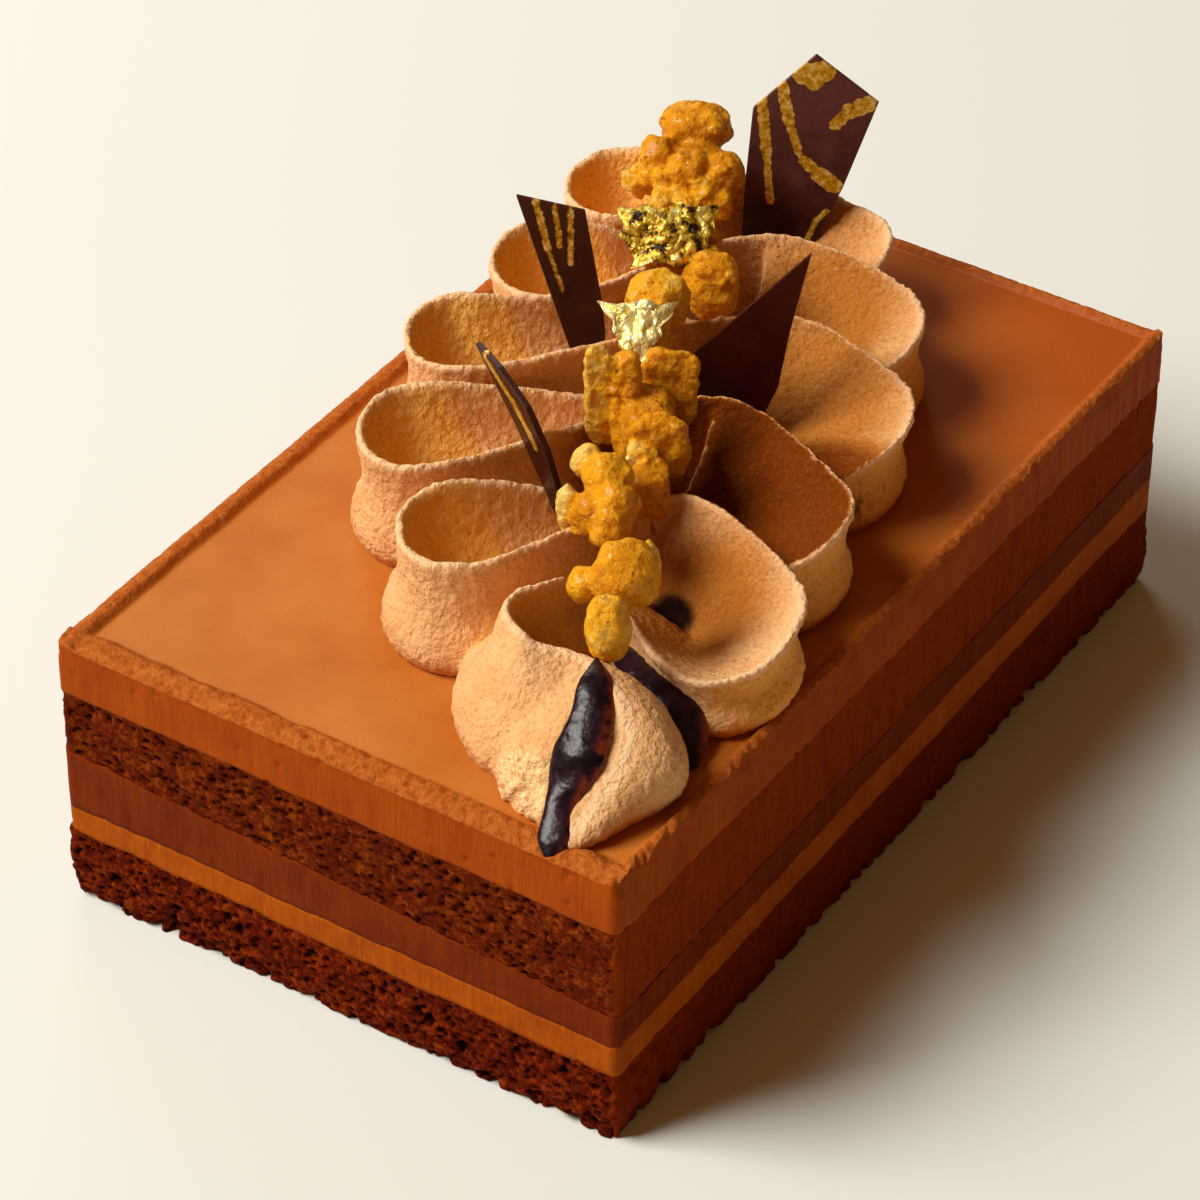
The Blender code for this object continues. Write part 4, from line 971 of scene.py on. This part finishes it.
# each piece: how craggy it is, how square its lumps are (2 is round), how many crumbs cling to
# it, and its lumps; a lump is x, y, height above the field, three half-sizes, tip, and how
# brown it is, from 0 for pale nut through golden and amber caramel to 1 for toasted crust
NUTS = {
    "nut_front": (0.6, 2.0, 0, (
        ((23.9, -42.2, 15.6), (2.7, 2.4, 4.9), 0, 0.22),)),
    "nut_lobed": (0.6, 2.0, 0, (
        ((21.9, -35.5, 18.2), (4.2, 3.8, 4.6), 0, 0.42),
        ((17.6, -37.8, 16.4), (2.0, 2.2, 2.5), 0, 0.3),
        ((22.8, -31.7, 16.6), (1.4, 1.8, 4.4), 0, 0.05))),
    "nut_long": (0.8, 2.0, 3, (
        ((7.6, -21.9, 20.3), (2.1, 2.0, 2.2), 0, 0.12),
        ((11.1, -22.7, 19.8), (3.2, 2.8, 3.3), 0, 0.32),
        ((13.4, -24.9, 18.2), (3.0, 2.8, 3.2), 0, 0.38),
        ((14.2, -27.0, 16.6), (2.6, 2.6, 2.8), 0, 0.42),
        ((11.0, -26.3, 16.8), (2.6, 2.6, 3.0), 0, 0.58),
        ((7.9, -26.5, 16.4), (1.5, 1.8, 3.6), 8, 0.0))),
    "nut_flaky": (1.2, 3.6, 7, (
        ((7.2, -8.0, 16.6), (3.4, 4.6, 4.6), 0, 0.62),
        ((1.3, -9.5, 20.0), (2.0, 1.2, 7.0), 0, 0.16),
        ((4.3, -8.3, 19.0), (1.9, 2.0, 7.2), -10, 0.44),
        ((6.3, -2.1, 18.6), (3.7, 1.3, 5.2), -10, 0.46),
        ((11.1, -11.3, 17.2), (3.6, 1.3, 4.6), 0, 0.44),
        ((12.2, -15.6, 14.2), (2.6, 3.2, 3.2), 0, 0.6),
        ((9.8, -13.9, 17.4), (1.5, 1.5, 1.6), 0, 0.1))),
    "nut_amber": (0.7, 2.4, 4, (
        ((-4.8, 13.0, 18.6), (3.9, 3.4, 4.0), 0, 0.22),
        ((-2.8, 7.0, 17.8), (3.2, 3.8, 3.4), 0, 0.26))),
    "nut_leafed": (1.0, 2.8, 8, (
        ((-12.1, 26.7, 17.4), (4.8, 3.4, 3.6), 0, 0.44),
        ((-8.6, 28.8, 16.0), (2.8, 2.6, 3.0), 0, 0.66),
        ((-6.2, 25.6, 14.8), (3.0, 3.6, 3.6), 0, 0.6),
        ((-3.0, 23.0, 15.6), (3.2, 2.4, 4.4), -10, 0.42))),
    "nut_cluster": (1.0, 2.5, 46, (
        ((-17.6, 41.2, 17.0), (5.0, 3.8, 4.4), 0, 0.72),
        ((-19.8, 45.5, 21.4), (4.7, 3.4, 3.1), 0, 0.46),
        ((-21.4, 38.5, 18.6), (2.3, 2.4, 4.2), 0, 0.4),
        ((-16.9, 38.8, 19.0), (2.8, 2.8, 3.0), 0, 0.52),
        ((-12.8, 41.2, 18.6), (2.5, 2.3, 3.3), 0, 0.62),
        ((-13.6, 37.6, 17.2), (1.6, 1.7, 2.0), 0, 0.28),
        ((-19.2, 36.4, 18.2), (1.3, 1.4, 1.9), 0, 0.18),
        ((-18.0, 34.3, 16.4), (1.6, 2.2, 1.8), 0, 0.22),
        ((-23.4, 37.1, 16.6), (1.5, 1.6, 1.8), 0, 0.2),
        ((-15.4, 35.6, 16.8), (1.4, 1.9, 1.5), 0, 0.24),
        ((-11.7, 38.7, 16.0), (1.6, 1.7, 2.2), 0, 0.42))),
}
CRUMB_SIZES = (0.6, 1.3)
CRUMB_TONES = (-0.28, 0.20)      # paler or browner than the lump it clings to
NUT_BUMP = 0.10
NUT_VOXEL = 0.24
TONE_BLEND = 7.0                 # how sharply one lump's tone gives way to the next one's


def lump_turn(turn, tip):
    return np.array(Matrix.Rotation(math.radians(turn), 3, "Z")
                    @ Matrix.Rotation(math.radians(tip), 3, "X"))


def above_field(spot):
    return spot[0], spot[1], FIELD_HEIGHT + spot[2]


def lump(spot, sizes, turn, tip, seed, squareness):
    unit, faces = ball(4)
    unit = unit / ((np.abs(unit) ** squareness).sum(axis=1) ** (1 / squareness))[:, None]
    unit = unit * (1 + NUT_BUMP * grain(unit * 1.7, 1.0, seed))[:, None]
    return (unit * np.array(sizes)) @ lump_turn(turn, tip).T + above_field(spot), faces


def lump_tones(points, lumps):
    """How brown each point is: the tone of the lump it lies on, blended between lumps."""
    far = []
    for spot, sizes, turn, tip, _ in lumps:
        local = (points - above_field(spot)) @ lump_turn(turn, tip)
        far.append(np.linalg.norm(local / np.array(sizes), axis=1))
    weights = np.exp(-TONE_BLEND * (np.array(far) - np.min(far, axis=0)))
    tones = np.array([row[-1] for row in lumps])
    return (weights * tones[:, None]).sum(axis=0) / weights.sum(axis=0)


def clinging_crumbs(lumps, count, draw):
    """Small lumps here and there on the skin of the large ones."""
    crumbs = []
    for _ in range(count):
        spot, sizes, turn, tip, tone = lumps[draw.integers(len(lumps))]
        way = draw.normal(size=3)
        way = way / np.linalg.norm(way)
        centre = np.array(spot) + lump_turn(turn, tip) @ (way * sizes * 0.94)
        size = draw.uniform(*CRUMB_SIZES, 3)
        crumb_tone = min(max(tone + draw.uniform(*CRUMB_TONES), 0.0), 1.0)
        crumbs.append((centre, size, draw.uniform(0, 180), 0, crumb_tone))
    return crumbs


nut_finish, place, shader = finish("sugar_cooked_nut")
patch = cloud(place, 2.0)
fine = cloud(place, 0.6, 4.0, 0.65)
colour = ramp(marked(place, "brownness") + (patch - 0.5) * 0.55 + (fine - 0.5) * 0.45,
              (0.0, (1.0, 0.68, 0.18)), (0.22, (0.96, 0.45, 0.012)), (0.42, (0.87, 0.355, 0.010)),
              (0.66, (0.68, 0.250, 0.006)), (0.86, (0.46, 0.140, 0.004)), (1.0, (0.22, 0.045, 0.002)))
cracks = cloud(place, 1.1, 3.0, 0.7)
colour = tinted(colour, (between(cracks, 0.60, 0.72) * 0.85, (0.26, 0.055, 0.001)),
                (between(cracks, 0.38, 0.28) * 0.7, (1.0, 0.72, 0.20)))
facets = place.fed("ShaderNodeTexVoronoi", {}, {"Vector": place, "Scale": 0.5}, "Distance")
connect(shader, Base_Color=colour, Normal=bumped(fine + 0.8 * facets, 0.75),
        Roughness=between(patch, 0.35, 0.65, 0.32, 0.55), Specular_IOR_Level=0.06,
        Coat_Weight=0.20, Coat_Roughness=0.07, Subsurface_Weight=0.45,
        Subsurface_Radius=(1.0, 0.5, 0.08), Subsurface_Scale=1.2 * MM)
seed = 0.0
draw = np.random.default_rng(7)
for node_name, (crags, squareness, crumbs, rows) in NUTS.items():
    lumps = [(spot, sizes, NUT_TURN, tip, tone) for spot, sizes, tip, tone in rows]
    lumps += clinging_crumbs(lumps, crumbs, draw)
    solids = []
    for *form, _ in lumps:
        seed += 3.7
        solids.append(lump(*form, seed, squareness))
    nut = merged("candied_" + node_name, solids, NUT_VOXEL, 2)
    swell(nut, lambda points, normals: crags * (
        grains(points, (0.26, 1.9, seed), (0.13, 0.8, seed + 1))
        - 0.22 * np.abs(grain(points, 2.6, seed + 2))))
    mark(nut, "brownness", lump_tones(points_of(nut), lumps))
    nut.data.shade_smooth()
    dress(nut, nut_finish, node_name)

# ---- gold leaf ----
# Flakes of real gold leaf, far thinner than paper, pressed with tweezers on two of the nut
# pieces. They crumple into sharp folds, with painted highlights, pale yellow on one side,
# and painted black shade in the creases.
# each flake is its centre, width, depth, turn, tip towards the front, how much narrower its
# lower edge is, and its seed
GOLD_LEAVES = {
    "nut_amber": ((-1.9, 3.8, 20.6), 9.6, 7.2, 33, 46, 0.75, 3),
    "nut_leafed": ((-10.2, 23.7, 20.5), 12.0, 8.0, 33, 42, 0.25, 8),
}
LEAF_SAG = 22.0                  # a flake sags by the square of the distance over this, mm


def leaf_finish(name, painted_highlight_lift):
    """Crumpled gold with painted light: painted black shade in its creases, olive, yellow,
    and a painted near-white highlight on its folds.
    """
    made, place, shader = finish(name)
    fold_relief_and_painted_light = cloud(place, 1.5, 3.0, 0.6)
    colour = ramp(fold_relief_and_painted_light + painted_highlight_lift, (0.36, (0.020, 0.006, 0.001)), (0.42, (0.36, 0.19, 0.006)),
                  (0.52, (0.90, 0.60, 0.04)), (0.64, (1.0, 0.86, 0.36)))
    specks = between(cloud(place, 0.6, 2.0), 0.66, 0.70)
    colour = mixed(specks, colour, (0.04, 0.014, 0.002))
    connect(shader, Base_Color=colour, Metallic=0.35, Roughness=0.30, Normal=bumped(fold_relief_and_painted_light, 0.8))
    return made


def standing(spot, turn, tip):
    """Where a topping stands: its spot above the field, its turn, and how far it tips."""
    return (Matrix.Translation(Vector(above_field(spot)) * MM)
            @ Matrix.Rotation(math.radians(turn), 4, "Z")
            @ Matrix.Rotation(math.radians(tip), 4, "X"))


# the first leaf gets paler painted highlights, the second darker painted shade
LEAF_FINISHES = {"nut_amber": leaf_finish("gold_leaf_paler_painted_highlights", 0.17),
                 "nut_leafed": leaf_finish("gold_leaf_darker_painted_shade", -0.03)}
for node_name, (spot, across, deep, turn, tip, taper, seed) in GOLD_LEAVES.items():
    shape = bmesh.new()
    bmesh.ops.create_grid(shape, x_segments=60, y_segments=44, size=0.5)
    flat = np.array([vert.co for vert in shape.verts])
    x = flat[:, 0] * across * (1 - taper * (0.5 - flat[:, 1]))
    y = flat[:, 1] * deep
    spots = np.column_stack([x, y, np.zeros(len(x))])
    ripple = 0.9 * grain(spots, 3.0, seed) + 0.7 * np.abs(grain(spots, 1.8, seed + 1))
    ripple = ripple + 0.18 * np.abs(grain(spots, 0.8, seed + 2)) - (x * x + y * y) / LEAF_SAG
    edge = 1 + 0.22 * grain(spots, 2.0, seed + 3)
    for vert, *spread in zip(shape.verts, x * edge, y * edge, ripple):
        vert.co = Vector(spread) * MM
    mesh = bpy.data.meshes.new("gold_leaf")
    shape.to_mesh(mesh)
    shape.free()
    mesh.transform(standing(spot, turn, tip))
    mesh.shade_smooth()
    mesh.materials.append(LEAF_FINISHES[node_name])
    leaf = put("gold_leaf_on_" + node_name, mesh)
    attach(leaf, "root")

# ---- chocolate shards ----
# Thin tempered chocolate, spread on a sheet printed with edible gold and snapped into
# pointed pieces, then pushed into the cream. The one on the right is plain dark chocolate.
SHARD_THICKNESS = 0.8
SHARD_EDGE = 0.12
# each shard: where it enters the cream, turn, tilt, the colour of its painted sheen, and its
# corners, as x and z in the plate's own mm
SHARDS = {
    "shard_back_right": ((-8.2, 46.4, 7.0), 20, 4, (0.110, 0.032, 0.026),
                         ((-4.4, -4.0), (4.2, -4.0), (5.0, 0.3), (8.7, 9.7), (12.7, 22.6),
                          (4.3, 28.3), (-3.5, 19.6), (-4.1, 9.0))),
    "shard_back_left": ((-12.7, 10.0, 12.0), 35, 8, (0.070, 0.018, 0.008),
                        ((-2.2, -3.6), (1.6, -3.6), (1.7, 0.6), (1.3, 4.6), (-0.8, 17.3),
                         (-9.3, 19.5), (-6.4, 10.0))),
    "shard_front_left": ((3.3, -21.1, 12.0), -31, -10, (0.045, 0.010, 0.006),
                         ((-1.0, -4.2), (1.6, -3.0), (1.1, 0.8), (-0.6, 7.6), (-4.5, 11.9),
                          (-12.0, 13.0), (-18.9, 12.2), (-9.7, 5.2))),
    "shard_right": ((6.5, 10.9, 8.0), 20, 6, (0.050, 0.006, 0.002),
                    ((-3.6, -3.4), (3.8, -3.4), (6.6, 3.9), (7.7, 11.9), (9.9, 23.3),
                     (-4.7, 6.4), (-4.4, -0.7))),
}
# gold streaks on a plate: x and z of both ends in the plate's own mm, and half-width
STREAKS = {
    "shard_back_right": ((-2.4, 21.6, -1.5, 13.6, 0.75), (-1.5, 13.6, -0.7, 6.4, 0.5),
                         (0.2, 23.4, 1.3, 18.4, 0.8), (1.3, 18.4, 2.7, 14.2, 0.6),
                         (2.8, 25.4, 5.6, 26.3, 1.4), (5.6, 26.3, 4.2, 24.4, 1.1),
                         (7.3, 18.8, 9.0, 21.0, 0.8), (9.0, 21.0, 11.4, 22.4, 1.1),
                         (3.5, 13.0, 5.6, 11.2, 0.8), (5.6, 11.2, 7.4, 10.0, 1.2),
                         (4.2, 0.6, 5.4, 4.4, 0.35), (5.4, 4.4, 6.8, 6.0, 0.35)),
    "shard_back_left": ((-6.9, 18.6, -5.4, 12.2, 0.45), (-4.6, 18.0, -3.9, 12.6, 0.35),
                        (-2.6, 17.4, -2.6, 10.2, 0.35), (-5.4, 12.2, -3.6, 6.4, 0.25)),
    "shard_front_left": ((-16.0, 11.9, -8.6, 9.6, 0.7), (-8.6, 9.6, -4.2, 6.4, 0.9)),
}


def streak_share(across, up, worn, streaks):
    """1 on a streak and 0 off it, with a ragged edge."""
    share = None
    for x0, z0, x1, z1, half_width in streaks:
        run_x, run_z = x1 - x0, z1 - z0
        square = run_x ** 2 + run_z ** 2
        along = between((across - x0) * (run_x / square) + (up - z0) * (run_z / square), 0, 1)
        far_x = across - x0 - along * run_x
        far_z = up - z0 - along * run_z
        near = half_width ** 2 - (far_x * far_x + far_z * far_z)
        streak = between(near + (worn - 0.5) * (1.6 * half_width), -0.05, 0.10)
        share = streak if share is None else share.fed(
            "ShaderNodeMath", {"operation": "MAXIMUM"}, {0: share, 1: streak})
    return share


def shard_finish(name, dark, light, streaks):
    """Tempered chocolate with a painted sheen, streaked with worn gold where streaks are given."""
    made, place, shader = finish(name)
    up = marked(place, "up")
    # the lighter colour is painted sheen, growing towards the top of the plate
    colour = mixed(between(cloud(place, 4.0) + up * 0.03, 0.45, 1.1), dark, light)
    metal = 0.0
    if streaks:
        worn = cloud(place, 0.8, 4.0, 0.7)
        gold = streak_share(marked(place, "across"), up, worn, streaks)
        tone = ramp(worn, (0.3, (0.30, 0.11, 0.004)), (0.5, (0.66, 0.34, 0.012)),
                    (0.7, (1.0, 0.78, 0.30)))
        colour = mixed(gold, colour, tone)
        metal = gold * 0.4
    connect(shader, Base_Color=colour, Normal=bumped(cloud(place, 1.4), 0.12), Metallic=metal,
            Roughness=0.36, Specular_IOR_Level=0.16)
    return made


for node_name, (spot, turn, tilt, sheen, corners) in SHARDS.items():
    count = len(corners)
    points = np.concatenate([np.insert(corners, 1, side * SHARD_THICKNESS / 2, axis=1)
                             for side in (1, -1)])
    back, front = list(range(count))[::-1], list(range(count, 2 * count))
    shard = solid_piece("snapped_" + node_name, points, [back, front] + ring_faces(count, 2))
    mark(shard, "across", points[:, 0])
    mark(shard, "up", points[:, 2])
    shard.data.transform(standing(spot, turn, -tilt))
    shaped(shard, "BEVEL", width=SHARD_EDGE * MM, segments=2)
    if node_name in STREAKS:
        made = shard_finish("gold_streaked_" + node_name, (0.030, 0.006, 0.003), sheen,
                            STREAKS[node_name])
        dress(shard, made, node_name)
    else:
        made = shard_finish("plain_dark_chocolate", (0.022, 0.002, 0.001), sheen, ())
        dress(shard, made, node_name)

# ---- floor, light and camera ----
# A plain pale floor under soft daylight from the left, and the camera looking down at the
# front right corner of the cake.
FLOOR_SIZE, FLOOR_GAP = 6.0, 0.0002
bpy.ops.mesh.primitive_plane_add(size=FLOOR_SIZE, location=(0, 0, -FLOOR_GAP))
floor = bpy.context.object
floor.name = "studio_floor"
floor_finish, place, shader = finish("pale_floor")
connect(shader, Base_Color=(0.83, 0.85, 0.80), Roughness=0.8)
floor.data.materials.append(floor_finish)


def soft_light(name, spot, size, power, colour):
    lamp = bpy.data.lights.new(name, "AREA")
    lamp.size = size
    lamp.energy = power
    lamp.color = colour
    item = put(name, lamp)
    item.location = spot
    item.rotation_euler = (-Vector(spot)).to_track_quat("-Z", "Y").to_euler()


soft_light("window", (-0.84, -0.77, 1.28), 0.85, 37.0, (1.0, 0.97, 0.92))
soft_light("back_window", (-0.46, 0.40, 0.36), 0.30, 0.7, (1.0, 0.97, 0.93))

world = bpy.data.worlds.new("soft_room")
world.use_nodes = True
connect(world.node_tree.nodes["Background"], Color=(1.0, 0.52, 0.17), Strength=0.13)
bpy.context.scene.world = world
bpy.context.scene.view_settings.view_transform = "Standard"

lens = bpy.data.cameras.new("camera")
lens.sensor_width = 36.0
lens.lens = 151.194
lens.clip_start = 0.01
camera = put("camera", lens)
camera.matrix_world = Matrix(((0.8358913, -0.3418970, 0.4294090, 0.270701),
                              (0.5488787, 0.5146182, -0.6587111, -0.422503),
                              (0.0042297, 0.7863044, 0.6178249, 0.415210),
                              (0.0, 0.0, 0.0, 1.0)))
bpy.context.scene.camera = camera
